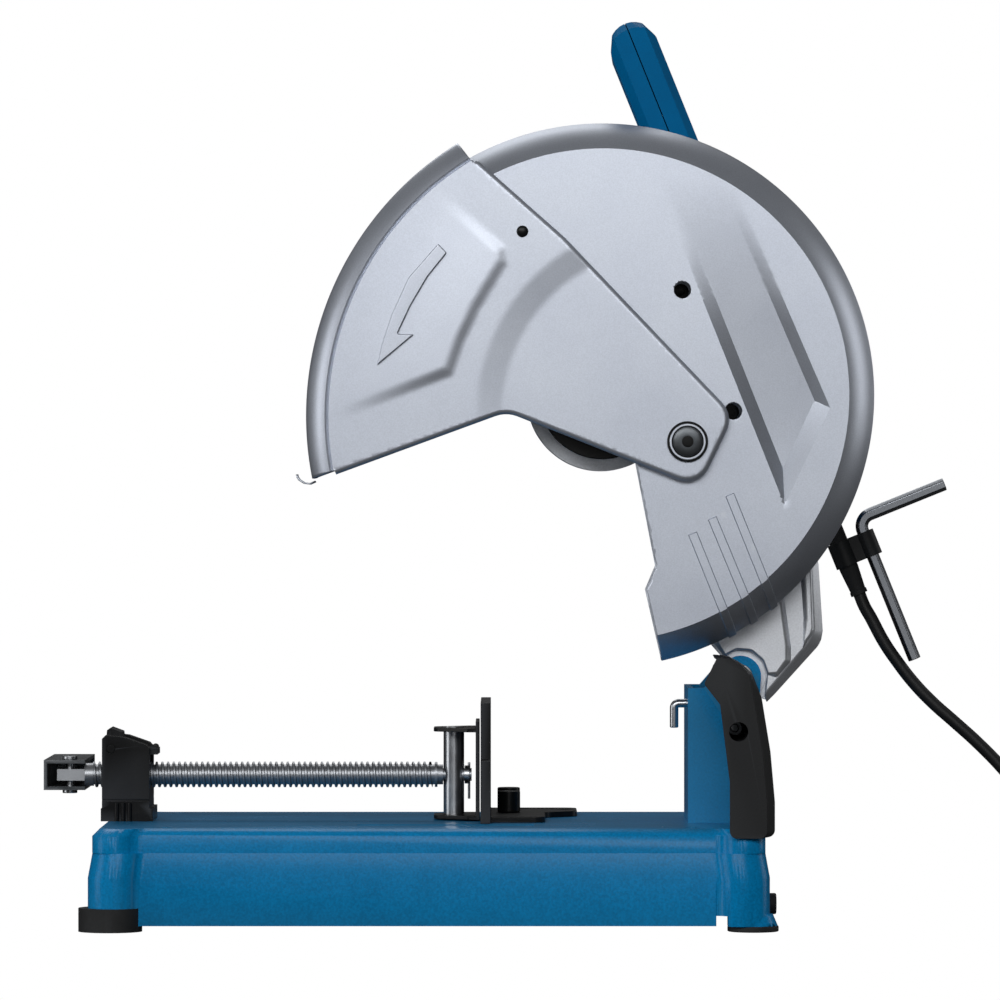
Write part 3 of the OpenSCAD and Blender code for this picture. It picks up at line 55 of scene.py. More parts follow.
# places that several pieces share, in mm
saw = {
    "wheel": (119.0, 366.1),  # spindle axis, x and z
    "motor": (164.466, 392.35),
    "pivot": (215.7, 171.9),  # arm hinge
    "guard": (176.8, 333.9),  # pivot of the moving guard
    "lean": 22.0,  # degrees that the handle leans forward
}


def mm(x, y, z):
    return Vector((x, y, z)) / 1000


# camera in mm, lamps in m
cameraSetup = {"place": (48.5, -4600, 294), "fieldWidth": 700.0, "sensor": 36.0, "far": 60000}
lamps = {
    "frontHigh": {"place": (-0.6, -4.0, 1.7), "aim": (0.05, 0, 0.25), "size": (4.0, 1.3), "power": 80},
    "frontLow": {"place": (0.3, -5.2, 0.2), "size": (1.6, 0.8), "power": 3},
    "leftBox": {"place": (-3.2, -1.0, 0.6), "size": (1.4, 2.0), "power": 19},
    "rightRear": {"place": (2.8, 0.7, 0.85), "size": (0.9, 1.8), "power": 9},
    "rearHigh": {"place": (-0.3, 2.6, 2.9), "size": (2.4, 1.6), "power": 26},
}
lampAim = (0.05, 0, 0.3)
roomGlow = {"From Min": 0.1, "From Max": 0.6, "To Min": 0.035, "To Max": 0.13}  # dim, darkest at the horizon
white = (1, 1, 1, 1)


def makeCamera(scene):
    data = bpy.data.cameras.new("photoCamera")
    data.sensor_width = cameraSetup["sensor"]
    data.lens = cameraSetup["sensor"] * -cameraSetup["place"][1] / cameraSetup["fieldWidth"]
    data.clip_end = cameraSetup["far"] / 1000
    cam = bpy.data.objects.new("photoCamera", data)
    cam.location = mm(*cameraSetup["place"])
    cam.rotation_euler = (math.radians(90), 0, 0)
    scene.collection.objects.link(cam)
    scene.camera = cam


def makeLamps(scene):
    for name, lamp in lamps.items():
        data = bpy.data.lights.new(name, "AREA")
        data.shape = "RECTANGLE"
        data.size, data.size_y = lamp["size"]
        data.energy = lamp["power"]
        obj = bpy.data.objects.new(name, data)
        obj.location = lamp["place"]
        aim = Vector(lamp.get("aim", lampAim)) - Vector(lamp["place"])
        obj.rotation_euler = aim.to_track_quat("-Z", "Y").to_euler()
        scene.collection.objects.link(obj)


# white where the camera sees it, a dim room for everything else
def makeRoom(scene):
    scene.world = bpy.data.worlds.new("studio")
    scene.world.use_nodes = True
    tree = scene.world.node_tree
    tree.nodes.clear()
    rays = addNode(tree, "LightPath")
    aim = addNode(tree, "TexCoord").outputs["Generated"]
    high = addNode(tree, "SeparateXYZ", links={0: aim})
    glow = addNode(tree, "MapRange", roomGlow, {"Value": high.outputs["Z"]})
    dim = addNode(tree, "Background", {"Color": white}, {"Strength": glow.outputs[0]})
    bright = addNode(tree, "Background", {"Color": white, "Strength": 1.0})
    mixed = addNode(tree, "MixShader",
                    links={0: rays.outputs["Is Camera Ray"], 1: dim.outputs[0], 2: bright.outputs[0]})
    addNode(tree, "OutputWorld", links={"Surface": mixed.outputs[0]})
    scene.view_settings.view_transform = "Standard"


def hexColor(text):
    channels = [int(text[i:i + 2], 16) / 255 for i in (1, 3, 5)]
    linear = [c / 12.92 if c <= 0.04045 else ((c + 0.055) / 1.055) ** 2.4 for c in channels]
    return (*linear, 1.0)


def addNode(tree, kind, settings=None, links=None):
    node = tree.nodes.new("ShaderNode" + kind)
    for key, value in (settings or {}).items():
        if isinstance(key, int) or key in node.inputs:
            node.inputs[key].default_value = value
        else:
            setattr(node, key, value)
    for key, source in (links or {}).items():
        tree.links.new(source, node.inputs[key])
    return node


# finishes: tones of the skin, its patches and its rubbed edges; roughness and how far it varies;
# sizes of grain and patches in mm
finishSpecs = {
    # aluminium casting with blue powder coat: orange peel and a soft sheen
    "blueCoat": {
        "tones": ("#048FD0", "#0386C4", "#3E8FBE"), "roughness": (0.26, 0.06),
        "grain": 1.6, "bump": 0.10, "patch": 60, "specular": 0.16, "fleck": 0.16},
    # pressed sheet steel with silver paint: fine flake, satin
    "silverPaint": {
        "tones": ("#CDD3DE", "#C4CAD6", "#D5DAE2"), "roughness": (0.40, 0.05),
        "grain": 0.9, "bump": 0.05, "patch": 90, "metallic": 0.8},
    # die-cast aluminium, painted silver: slightly sandy skin
    "silverCasting": {
        "tones": ("#EBEEF4", "#E2E6EC", "#C4C8D0"), "roughness": (0.40, 0.10),
        "grain": 1.2, "bump": 0.14, "patch": 40, "metallic": 0.8},
    # ABS with spark-eroded skin: matt and finely pitted
    "blackPlastic": {
        "tones": ("#1C1E21", "#17191B", "#34373B"), "roughness": (0.52, 0.10),
        "grain": 0.8, "bump": 0.16, "patch": 35, "specular": 0.35},
    # glass-filled nylon, moulded blue: finely textured, a little sheen
    "blueNylon": {
        "tones": ("#0274B0", "#026BA4", "#2C78A8"), "roughness": (0.45, 0.08),
        "grain": 0.8, "bump": 0.12, "patch": 45, "specular": 0.03},
    # pressed steel with black stoving enamel: smooth, satin
    "blackEnamel": {
        "tones": ("#0E0F10", "#0B0C0D", "#4A4C50"), "roughness": (0.36, 0.10),
        "grain": 1.4, "bump": 0.08, "patch": 30, "specular": 0.15, "coat": 0.1},
    # moulded rubber: matt, slightly dusty
    "rubber": {
        "tones": ("#1A1B1D", "#232527", "#2C2E31"), "roughness": (0.72, 0.10),
        "grain": 0.7, "bump": 0.12, "patch": 20},
    # soft PVC sheath: matt black with a faint sheen
    "cordSheath": {
        "tones": ("#1B1C1E", "#151617", "#26282A"), "roughness": (0.48, 0.08),
        "grain": 0.6, "bump": 0.08, "patch": 25},
    # zinc-plated steel: bright, faintly clouded
    "zincSteel": {
        "tones": ("#C2C5C9", "#B3B6BA", "#DADCDF"), "roughness": (0.30, 0.07),
        "grain": 0.7, "bump": 0.04, "patch": 12, "metallic": 1.0},
    # rolled thread with a film of oil: grey, dull
    "threadSteel": {
        "tones": ("#9A9DA2", "#8C8F94", "#C4C7CB"), "roughness": (0.40, 0.06),
        "grain": 0.7, "bump": 0.05, "patch": 10, "metallic": 0.85},
    # polished hex stock, nickel plated: bright and smooth
    "nickelSteel": {
        "tones": ("#8E9298", "#888C92", "#ECEEF0"), "roughness": (0.2, 0.04),
        "grain": 0.7, "bump": 0.02, "patch": 20, "metallic": 1.0},
    # black-oxide tool steel: dark and slightly oily
    "oxideSteel": {
        "tones": ("#54585C", "#464A4D", "#A9ACB0"), "roughness": (0.34, 0.12),
        "grain": 0.7, "bump": 0.06, "patch": 14, "metallic": 0.9},
    # enamelled copper windings on laminations
    "copperWinding": {
        "tones": ("#A5643A", "#7E4726", "#C98E63"), "roughness": (0.38, 0.14),
        "grain": 1.0, "bump": 0.2, "patch": 10, "metallic": 0.8},
    # pressed carbon: dull and dusty
    "carbon": {
        "tones": ("#2A2A2B", "#1D1D1E", "#3B3B3C"), "roughness": (0.6, 0.1),
        "grain": 0.6, "bump": 0.2, "patch": 8, "metallic": 0.1},
}
patchLook = {"Detail": 4.0, "Roughness": 0.6}
grainLook = {"Detail": 2.0, "Roughness": 0.5}
patchSpan = (0.35, 0.68)  # noise between the patches' tone and the skin's
rubbedEdge = {"From Min": 0.53, "From Max": 0.62, "To Min": 0.0, "To Max": 0.55}
grainSpan = {"From Min": 0.3, "From Max": 0.7}
grainDepth = 0.0004  # m


def makeFinish(name, spec):
    made = bpy.data.materials.new(name)
    made.use_nodes = True
    tree = made.node_tree
    tree.nodes.clear()
    place = {"Vector": addNode(tree, "TexCoord").outputs["Object"]}
    patches = addNode(tree, "TexNoise", {"Scale": 1000 / spec["patch"], **patchLook}, place)
    grain = addNode(tree, "TexNoise", {"Scale": 1000 / spec["grain"], **grainLook}, place)
    tone = addNode(tree, "ValToRGB", links={"Fac": patches.outputs["Fac"]})
    skinTone, patchTone, edgeTone = (hexColor(text) for text in spec["tones"])
    for stop, at, color in zip(tone.color_ramp.elements, patchSpan, (patchTone, skinTone)):
        stop.position = at
        stop.color = color
    fleck = spec.get("fleck", 0.06)
    spots = addNode(tree, "MapRange", {**grainSpan, "To Min": 1 - fleck, "To Max": 1 + fleck},
                    {"Value": grain.outputs["Fac"]})
    skin = addNode(tree, "MixRGB", {"blend_type": "MULTIPLY", "Fac": 1.0},
                   {"Color1": tone.outputs["Color"], "Color2": spots.outputs[0]})
    # rubbed edges show a lighter line
    ridge = addNode(tree, "NewGeometry").outputs["Pointiness"]
    rub = addNode(tree, "MapRange", rubbedEdge, {"Value": ridge})
    mixed = addNode(tree, "MixRGB", {"Color2": edgeTone},
                    {"Fac": rub.outputs[0], "Color1": skin.outputs["Color"]})
    rough, spread = spec["roughness"]
    gloss = addNode(tree, "MapRange", {"To Min": rough - spread, "To Max": rough + spread},
                    {"Value": patches.outputs["Fac"]})
    relief = addNode(tree, "Bump", {"Strength": spec["bump"], "Distance": grainDepth},
                     {"Height": grain.outputs["Fac"]})
    shader = addNode(tree, "BsdfPrincipled",
                     {"Metallic": spec.get("metallic", 0.0), "Coat Weight": spec.get("coat", 0.0),
                      "Specular IOR Level": spec.get("specular", 0.5)},
                     {"Base Color": mixed.outputs["Color"], "Roughness": gloss.outputs[0],
                      "Normal": relief.outputs["Normal"]})
    addNode(tree, "OutputMaterial", links={"Surface": shader.outputs[0]})
    return made


finishes = {name: makeFinish(name, spec) for name, spec in finishSpecs.items()}
makeCamera(bpy.context.scene)
makeLamps(bpy.context.scene)
makeRoom(bpy.context.scene)
print("stage set, finishes made:", len(finishes))


# small helpers for meshes, gaps in mm
def vertsIn(geom):
    return [v for v in geom if isinstance(v, bmesh.types.BMVert)]


def edgesIn(geom):
    return [e for e in geom if isinstance(e, bmesh.types.BMEdge)]


def sidesOf(points):
    return zip(points, points[1:] + points[:1])


# edges through a row of points, as (verts, edges)
def drawLine(bm, points, closed=False):
    verts = [bm.verts.new(p) for p in points]
    pairs = sidesOf(verts) if closed else zip(verts, verts[1:])
    return verts, [bm.edges.new(pair) for pair in pairs]


def drawFaces(bm, faces, step):
    grown = bmesh.ops.extrude_face_region(bm, geom=faces)["geom"]
    bmesh.ops.translate(bm, verts=vertsIn(grown), vec=step)


def mergeClose(bm, gap):
    bmesh.ops.remove_doubles(bm, verts=bm.verts, dist=gap / 1000)


def faceOutward(bm):
    bmesh.ops.recalc_face_normals(bm, faces=bm.faces)


# joins faces that lie flat beside each other
def joinFlat(bm, angle, **limits):
    bmesh.ops.dissolve_limit(bm, angle_limit=math.radians(angle), verts=bm.verts, edges=bm.edges, **limits)


# middle of a face, in mm
def middleOf(face):
    return face.calc_center_median() * 1000


def isAt(y, level):
    return abs(y - level) < 0.01


# an open shell's faces are turned towards the front, judged by those before the given y
def faceForward(bm, before=1000):
    faceOutward(bm)
    front = [f for f in bm.faces if middleOf(f).y < before]
    if sum(f.normal.y * f.calc_area() for f in front) > 0:
        bmesh.ops.reverse_faces(bm, faces=bm.faces)


def cutAcross(bm, place, normal):
    geom = bm.verts[:] + bm.edges[:] + bm.faces[:]
    bmesh.ops.bisect_plane(bm, geom=geom, dist=0.000001, plane_co=place, plane_no=normal)


def clamp(x):
    return min(max(x, 0), 1)


def ease(x):
    return clamp(x) ** 2 * (3 - 2 * clamp(x))


def newObject(name, mesh, finish):
    obj = bpy.data.objects.new(name, mesh)
    bpy.context.scene.collection.objects.link(obj)
    mesh.materials.append(finishes[finish])
    for poly in mesh.polygons:
        poly.use_smooth = True
    return obj


def meshOf(name, bm):
    mesh = bpy.data.meshes.new(name)
    bm.to_mesh(mesh)
    bm.free()
    return mesh


def addSheet(obj, thickness, offset=-1):
    wall = obj.modifiers.new("sheet", "SOLIDIFY")
    wall.thickness = thickness / 1000
    wall.offset = offset


# puts a finished mesh on its body, with its finish, smooth sides and crisp edges
def placePiece(name, bm, finish, body, slot, stands=(), bevel=None, crease=35, level=False):
    obj = newObject(name, meshOf(name, bm), finish)
    if bevel:
        edge = obj.modifiers.new("softEdge", "BEVEL")
        edge.width = bevel[0] / 1000
        edge.segments = bevel[1]
        edge.limit_method = "ANGLE"
        edge.angle_limit = math.radians(crease)
        edge.miter_outer = "MITER_ARC"
    else:
        obj.data.set_sharp_from_angle(angle=math.radians(crease))
    if bevel or level:
        obj.modifiers.new("levelFaces", "WEIGHTED_NORMAL").keep_sharp = True
    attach(obj, body)
    if stands:
        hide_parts(*stands)
    return obj


# a piece that stands for one solid, on its body
def replaceSolid(name, bm, finish, node, **look):
    return placePiece(name, bm, finish, bodyOf[node], slotOf[node], [node], **look)


# a copy of a solid, joined up and freed of its flat triangles
def solidCopy(node, joined=True):
    bm = bmesh.new()
    bm.from_mesh(nodes[node].data)
    mergeClose(bm, 0.002)
    if joined:
        joinFlat(bm, 0.6, delimit={"NORMAL"})
    return bm


# cord: the route is that of its solids, in mm
cordSpec = {
    "diameter": 9, "plane": 45, "exit": (66.3, -204.6),  # exit across and along the handle
    "lead": [(310.4, 211.3), (319.9, 193.6), (329.5, 179.5), (340.4, 165.4), (353.9, 151.2), (369.8, 137.1),
             (386, 122.5), (404, 104), (421, 83), (436, 61), (450, 40), (466, 22)],
    "held": (436, 45, 61),  # below this the arm doesn't move it
    "coilX": 490, "coilIn": 34, "pitch": 10, "turns": 3, "perTurn": 24, "low": 5.3, "layer": 9.6,
    "tailBend": 60, "tailSteps": 5, "plugTurn": 45, "plugH": 10, "plugRise": (15, 27),
}


# a point given across and along the leaning handle
def leanPoint(n, h, y):
    a = math.radians(saw["lean"])
    x, z = saw["motor"]
    return Vector((x + n * math.cos(a) - h * math.sin(a), y, z + n * math.sin(a) + h * math.cos(a)))


def cordRoute():
    c = cordSpec
    n, h = c["exit"]
    top = c["low"] + c["layer"]
    coilY = c["plane"] + c["coilIn"] + c["pitch"] * c["turns"]
    route = [leanPoint(n, h, c["plane"]), leanPoint(n, h - c["diameter"], c["plane"])]
    route += [Vector((x, c["plane"], z)) for x, z in c["lead"]]
    route += [Vector((c["coilX"] - k * c["diameter"], c["plane"], top)) for k in (2, 1)]
    # the coil winds in on the upper layer and out again on the lower one
    for i in range(2 * c["perTurn"] * c["turns"] + 1):
        s = i / c["perTurn"]
        r = c["coilIn"] + c["pitch"] * abs(s - c["turns"])
        a = math.radians(360 * s - 90)
        z = top - c["layer"] * ease(2 * (s - c["turns"]) + 0.5)
        route.append(Vector((c["coilX"] + r * math.cos(a), coilY + r * math.sin(a), z)))
    for step in range(1, c["tailSteps"] + 1):
        turn = c["plugTurn"] * step / c["tailSteps"]
        a = math.radians(turn)
        x, y = c["coilX"] + c["tailBend"] * math.sin(a), c["plane"] - c["tailBend"] * (1 - math.cos(a))
        z = c["low"] + (c["plugH"] - c["low"]) * ease((turn - c["plugRise"][0]) / c["plugRise"][1])
        route.append(Vector((x, y, z)))
    a = math.radians(c["plugTurn"])
    route.append(route[-1] + c["diameter"] * Vector((math.cos(a), -math.sin(a), 0)))
    return [p / 1000 for p in route]


def shapeOf(curve):
    bpy.context.view_layer.update()
    return bpy.data.meshes.new_from_object(curve.evaluated_get(bpy.context.evaluated_depsgraph_get()))


# a tube along the route, from its boot on the handle to its coil on the ground
def makeCord():
    route = cordRoute()
    data = bpy.data.curves.new("cordLine", "CURVE")
    data.dimensions = "3D"
    data.resolution_u = 6
    spline = data.splines.new("BEZIER")
    spline.bezier_points.add(len(route) - 1)
    for point, at in zip(spline.bezier_points, route):
        point.co = at
        point.handle_left_type = point.handle_right_type = "AUTO"
    line = bpy.data.objects.new("cordLine", data)
    bpy.context.scene.collection.objects.link(line)
    path = [v.co.copy() for v in shapeOf(line).vertices]
    data.bevel_depth = cordSpec["diameter"] / 2000
    data.bevel_resolution = 5
    data.use_fill_caps = True
    obj = newObject("mainsCord", shapeOf(line), "cordSheath")
    bpy.data.objects.remove(line)
    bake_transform(obj)
    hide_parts("cord_lead", "cord_coil")
    return obj, path


cord, cordPath = makeCord()


def onAxis(p):
    return mm(p[0], 0, p[1])


# spins a profile of (radius, y) points once round an axis along y
def spunSkin(centre, profile, steps, start=0):
    bm = bmesh.new()
    verts, edges = drawLine(bm, [mm(centre[0] + r, y, centre[1]) for r, y in profile])
    turn = Matrix.Rotation(math.radians(start), 3, (0, -1, 0))
    bmesh.ops.rotate(bm, verts=verts, cent=onAxis(centre), matrix=turn)
    bmesh.ops.spin(bm, geom=verts + edges, cent=onAxis(centre), axis=(0, -1, 0), angle=2 * math.pi,
                   steps=steps, use_merge=True)
    mergeClose(bm, 0.01)
    faceOutward(bm)
    return bm


def arcPoints(centre, radius, start, end, count):
    turns = [math.radians(start + (end - start) * i / count) for i in range(count + 1)]
    return [(centre[0] + radius * math.cos(t), centre[1] + radius * math.sin(t)) for t in turns]


def circlePoints(centre, radius, count):
    return arcPoints(centre, radius, 0, 360, count)[:-1]


# (radius, y) points across a flat face
def flatRings(radius, count, y):
    return [(i * radius / count, y) for i in range(count + 1)]


# a curve of (radius, y) points out to an end radius, its tilt growing evenly between two angles
def steepening(start, end, tilts, count):
    made = []
    r, y = start
    step = (end - r) / count
    for i in range(count):
        tilt = tilts[0] + (tilts[1] - tilts[0]) * (i + 0.5) / count
        r, y = r + step, y + step * math.tan(math.radians(tilt))
        made.append((r, y))
    return made


def isInside(x, z, outline):
    found = False
    for (x0, z0), (x1, z1) in sidesOf(outline):
        if (z0 > z) != (z1 > z) and x < x0 + (z - z0) * (x1 - x0) / (z1 - z0):
            found = not found
    return found


# cuts faces along the line through two (x, z) points, only near that stretch and between two y
def cutLine(bm, p, q, reach=4, ylow=-1000, yhigh=1000):
    along = Vector((q[0] - p[0], 0, q[1] - p[1]))
    length = along.length
    along.normalize()
    across = Vector((along.z, 0, -along.x))
    near = []
    for face in bm.faces:
        c = middleOf(face)
        step = Vector((c.x - p[0], 0, c.z - p[1]))
        beside = -reach < step.dot(along) < length + reach and abs(step.dot(across)) < reach
        if beside and ylow < c.y < yhigh:
            near.append(face)
    geom = list({v for f in near for v in f.verts}) + list({e for f in near for e in f.edges}) + near
    bmesh.ops.bisect_plane(bm, geom=geom, dist=0.000002, plane_co=onAxis(p), plane_no=across)


def cutOutline(bm, outline, reach, yhigh=1000, keepInside=False):
    for p, q in sidesOf(outline):
        cutLine(bm, p, q, reach, yhigh=yhigh)
    lost = []
    for face in bm.faces:
        c = middleOf(face)
        if c.y < yhigh and isInside(c.x, c.z, outline) != keepInside:
            lost.append(face)
    bmesh.ops.delete(bm, geom=lost, context="FACES")


def between(p, q):
    return Vector((q[0] - p[0], q[1] - p[1]))


# distance from a point to the right of the line from p to q
def rightOf(x, z, p, q):
    along = between(p, q).normalized()
    return (x - p[0]) * along.y - (z - p[1]) * along.x


def gapToLine(x, z, p, q):
    along, at = between(p, q), between(p, (x, z))
    return (at - along * clamp(at.dot(along) / along.length_squared)).length


# corner points of an outline with radii, each corner a short arc
def roundCorners(points, steps=5):
    made = []
    for i, (x, z, r) in enumerate(points):
        b = Vector((x, z))
        if not r:
            made.append((x, z))
            continue
        u = (Vector(points[i - 1][:2]) - b).normalized()
        v = (Vector(points[(i + 1) % len(points)][:2]) - b).normalized()
        half = u.angle(v) / 2
        middle = b + (u + v).normalized() * (r / math.sin(half))
        p, q = (b + side * (r / math.tan(half)) - middle for side in (u, v))
        start = math.atan2(p.y, p.x)
        turn = (math.atan2(q.y, q.x) - start + math.pi) % (2 * math.pi) - math.pi
        made += arcPoints(middle, r, math.degrees(start), math.degrees(start + turn), steps)
    return made


foldSteps = 4  # in the quarter turn of a folded edge
# guards: skins spun about an axis, cut to outline, pressed and given their sheet thickness
fixedGuard = {
    "radius": 187.5, "near": -96, "back": -41.5, "round": 18.6, "rimTilt": (38, 66), "sheet": 2.5,
    "faceRings": 70, "rimRings": 12, "rimEdge": 1.5, "rimFold": 3, "rimBack": -52, "spinSteps": 360,
    "backRings": (150, 110, 70, 45, 30.3),  # the last one goes round the gear housing's nose
    "faceOnly": -90, "frontOnly": -60,  # cuts stay before these y
    # cut open where the wheel works, as offsets from its axis
    "openSide": [(60, -420), (41, -182), (30, -134), (37, -117.5), (23, -45), (-40, 20), (-181, 48.5),
                 (-420, 80), (-420, -420)],
    "holes": [(173.6, 438.1), (208.5, 355)], "holeRadius": 6, "holeSides": 16,
    # sunk panel: the outer edges and widths of its left, right and lower walls
    "walls": [((162, 495), (239.6, 300.3), 8.6), ((274, 359.3), (216.7, 492), 7.8),
              ((247.1, 297.8), (273.9, 355.1), 11.7)],
    "panelDepth": 6, "panelTop": 515, "panelFade": 205,
    # ribs run out over the rim; flanks, ends and cuts are shares of half a rib's width
    "ribs": [((62.5, -97.5), (88.5, -162)), ((76, -87), (103, -152)), ((88, -71), (117, -143))],
    "ribWidth": 6.5, "ribHeight": 1.3, "ribLead": 3, "ribRun": 30, "ribFlank": 0.18, "ribEnd": 0.9,
    "ribCut": 1.3,
}


def panelSink(x, z):
    g = fixedGuard
    share = min(-rightOf(x, z, p, q) / width for p, q, width in g["walls"])
    return g["panelDepth"] * ease((g["panelTop"] - z) / g["panelFade"]) * clamp(share)


def crossing(p, u, q, v):
    t = ((q[0] - p[0]) * v.y - (q[1] - p[1]) * v.x) / (u.x * v.y - u.y * v.x)
    return p[0] + u.x * t, p[1] + u.y * t


# cuts the skin at both edges of each wall of the sunk panel, and where the walls meet at its foot
def cutPanel(bm):
    g = fixedGuard
    edges = []
    for p, q, width in g["walls"]:
        along = between(p, q).normalized()
        side = Vector((-along.y, along.x)) * width
        inner = (p[0] + side.x, p[1] + side.y)
        cutLine(bm, p, q, yhigh=g["faceOnly"])
        cutLine(bm, inner, (q[0] + side.x, q[1] + side.y), yhigh=g["faceOnly"])
        edges.append((p, inner, along))
    foot = edges.pop()
    for wall in edges:
        corners = [crossing(wall[k], wall[2], foot[k], foot[2]) for k in (0, 1)]
        cutLine(bm, *corners, reach=3, yhigh=g["faceOnly"])


# cuts the flanks and ends of the ribs, and gives each rib's start, direction and length
def cutRibs(bm):
    g = fixedGuard
    cx, cz = saw["wheel"]
    half = g["ribWidth"] / 2
    lines = []
    for ends in g["ribs"]:
        p, q = (Vector((cx + x, cz + z)) for x, z in ends)
        along = (q - p).normalized()
        q = q + along * g["ribRun"]
        side = Vector((-along.y, along.x)) * half
        for shift in (1, 1 - g["ribFlank"]):
            for s in (shift, -shift):
                cutLine(bm, p + side * s - along * g["ribLead"], q + side * s, yhigh=g["frontOnly"])
        for shift in (g["ribEnd"], g["ribEnd"] - g["ribFlank"]):
            end = p - along * half * shift
            cutLine(bm, end - side * g["ribCut"], end + side * g["ribCut"], reach=3, yhigh=g["faceOnly"])
        lines.append((p, along, (q - p).length))
    return lines


def ribRise(x, z, lines):
    g = fixedGuard
    half = g["ribWidth"] / 2
    rise = 0
    for p, along, length in lines:
        at = Vector((x, z)) - p
        run, off = at.dot(along), abs(at.x * along.y - at.y * along.x)
        if run < length:
            rise += g["ribHeight"] * clamp(min(half - off, run + half * g["ribEnd"]) / (half * g["ribFlank"]))
    return rise


def makeFixedGuard():
    g = fixedGuard
    cx, cz = saw["wheel"]
    radius, back, fold = g["radius"], g["back"], g["rimFold"]
    profile = flatRings(radius - g["round"], g["faceRings"], g["near"])
    profile += steepening(profile[-1], radius - g["rimEdge"], g["rimTilt"], g["rimRings"])
    profile += [(radius, profile[-1][1] + fold), (radius, g["rimBack"])]
    profile += arcPoints((radius - fold, back - fold), fold, 0, 90, foldSteps)
    profile += [(r, back) for r in g["backRings"]]
    bm = spunSkin(saw["wheel"], profile, g["spinSteps"])
    cutOutline(bm, [(cx + x, cz + z) for x, z in g["openSide"]], reach=500)
    for hole in g["holes"]:
        cutOutline(bm, circlePoints(hole, g["holeRadius"], g["holeSides"]), reach=7, yhigh=g["faceOnly"])
    cutPanel(bm)
    lines = cutRibs(bm)
    bm.normal_update()
    moves = {}
    for v in bm.verts:
        x, y, z = v.co * 1000
        if y <= g["frontOnly"]:
            sink = panelSink(x, z) if isAt(y, g["near"]) else 0
            moves[v] = v.normal * (ribRise(x, z, lines) - sink) / 1000
    for v, step in moves.items():
        v.co += step
    obj = replaceSolid("fixedGuard", bm, "silverPaint", "fixed_guard", crease=14)
    addSheet(obj, g["sheet"])


movingGuard = {
    "rimCentre": (135.8, 351.6), "rim": 220.4, "rimRound": 15, "rimTilt": (24, 58), "rimRings": 10,
    "plate": -105, "plateRings": 90, "sheet": 2.2, "spinStart": 60, "spinSteps": 480,
    # a groove between plate and rim: its widths, its depth behind the plate, and the rim's edge before it
    "grooveWidths": (0.8, 0.6), "groove": 0.6, "rimFront": 0.8,
    "rimEdge": 1, "rimFold": 2, "rimBack": -60, "lip": -37, "lipRound": 3, "lipDepth": 15,
    # outline without its rim, as offsets from the pivot with corner radii, and the angles where the rim ends
    "corners": [(-147.8, 192.1, 0), (-85.8, 137.1, 30), (28.2, 17.6, 14), (6.2, -27.9, 14),
                (-123.8, 23.7, 24)],
    "rimEnds": (122.4, 191.7), "heelTurn": 0.6, "outside": (30, 60),  # it passes well outside the rim
    "fold": 3.2, "foldDepth": 5,
    # pressings: a round step that stops at an x, and a raised panel left of a line
    "arcStep": {"centre": (164, 353), "inner": 114, "outer": 131.5, "height": 1.6, "stop": 120},
    "panel": [(-2, 511), (10.8, 499.3), (48.9, 465.5), (50.2, 457.1), (32, 427), (21.5, 405),
              (13.3, 382), (-61.4, 352.9), (-90, 341.7)],
    "panelBeyond": -260, "panelBand": 6.5, "panelHeight": 1.7, "panelFade": (105, 205),
    "arrow": [(6.2, 469.2), (-14, 446), (-25.5, 421), (-32.5, 400), (-35.5, 386.1), (-10.3, 407.2),
              (-21.6, 407.6), (-12.5, 427), (-1, 446.5), (12.2, 463)],
    "arrowHeight": 1.3, "arrowRoot": 0.6,
}


# how far the moving guard stands out towards the front at a point
def pressedHeight(x, z):
    g = movingGuard
    step = g["arcStep"]
    r = math.dist((x, z), step["centre"])
    share = clamp((r - step["inner"]) / (step["outer"] - step["inner"]))
    rise = 0 if x > step["stop"] and share < 1 else step["height"] * share
    line = g["panel"]
    gap = min(gapToLine(x, z, p, q) for p, q in zip(line, line[1:]))
    raised = isInside(x, z, line + [(g["panelBeyond"], line[-1][1]), (g["panelBeyond"], line[0][1])])
    share = clamp(0.5 + (gap if raised else -gap) / g["panelBand"])
    start, end = g["panelFade"]
    fade = 1 - ease((math.dist((x, z), g["rimCentre"]) - start) / (end - start))
    return rise + g["panelHeight"] * share * fade


# edges that are cut straight are folded back in an arc
def foldBack(bm, edges):
    g = movingGuard
    outward = {}
    for e in edges:
        away = (e.verts[0].co + e.verts[1].co) / 2 - e.link_faces[0].calc_center_median()
        along = (e.verts[1].co - e.verts[0].co).normalized()
        side = Vector((along.z, 0, -along.x))
        side = side if side.dot(away) > 0 else -side
        for v in e.verts:
            outward[v] = outward.get(v, Vector()) + side
    bend = arcPoints((0, 0), g["fold"], 0, 90, foldSteps)
    steps = [(b[1] - a[1], a[0] - b[0]) for a, b in zip(bend, bend[1:])] + [(0, g["foldDepth"] - g["fold"])]
    for out, back in steps:
        grown = bmesh.ops.extrude_edge_only(bm, edges=edges)["geom"]
        edges = edgesIn(grown)
        carried = {}
        for v in vertsIn(grown):
            old = next(e.other_vert(v) for e in v.link_edges if e.other_vert(v) in outward)
            carried[v] = outward[old]
            v.co += (outward[old].normalized() * out + Vector((0, back, 0))) / 1000
        outward = carried


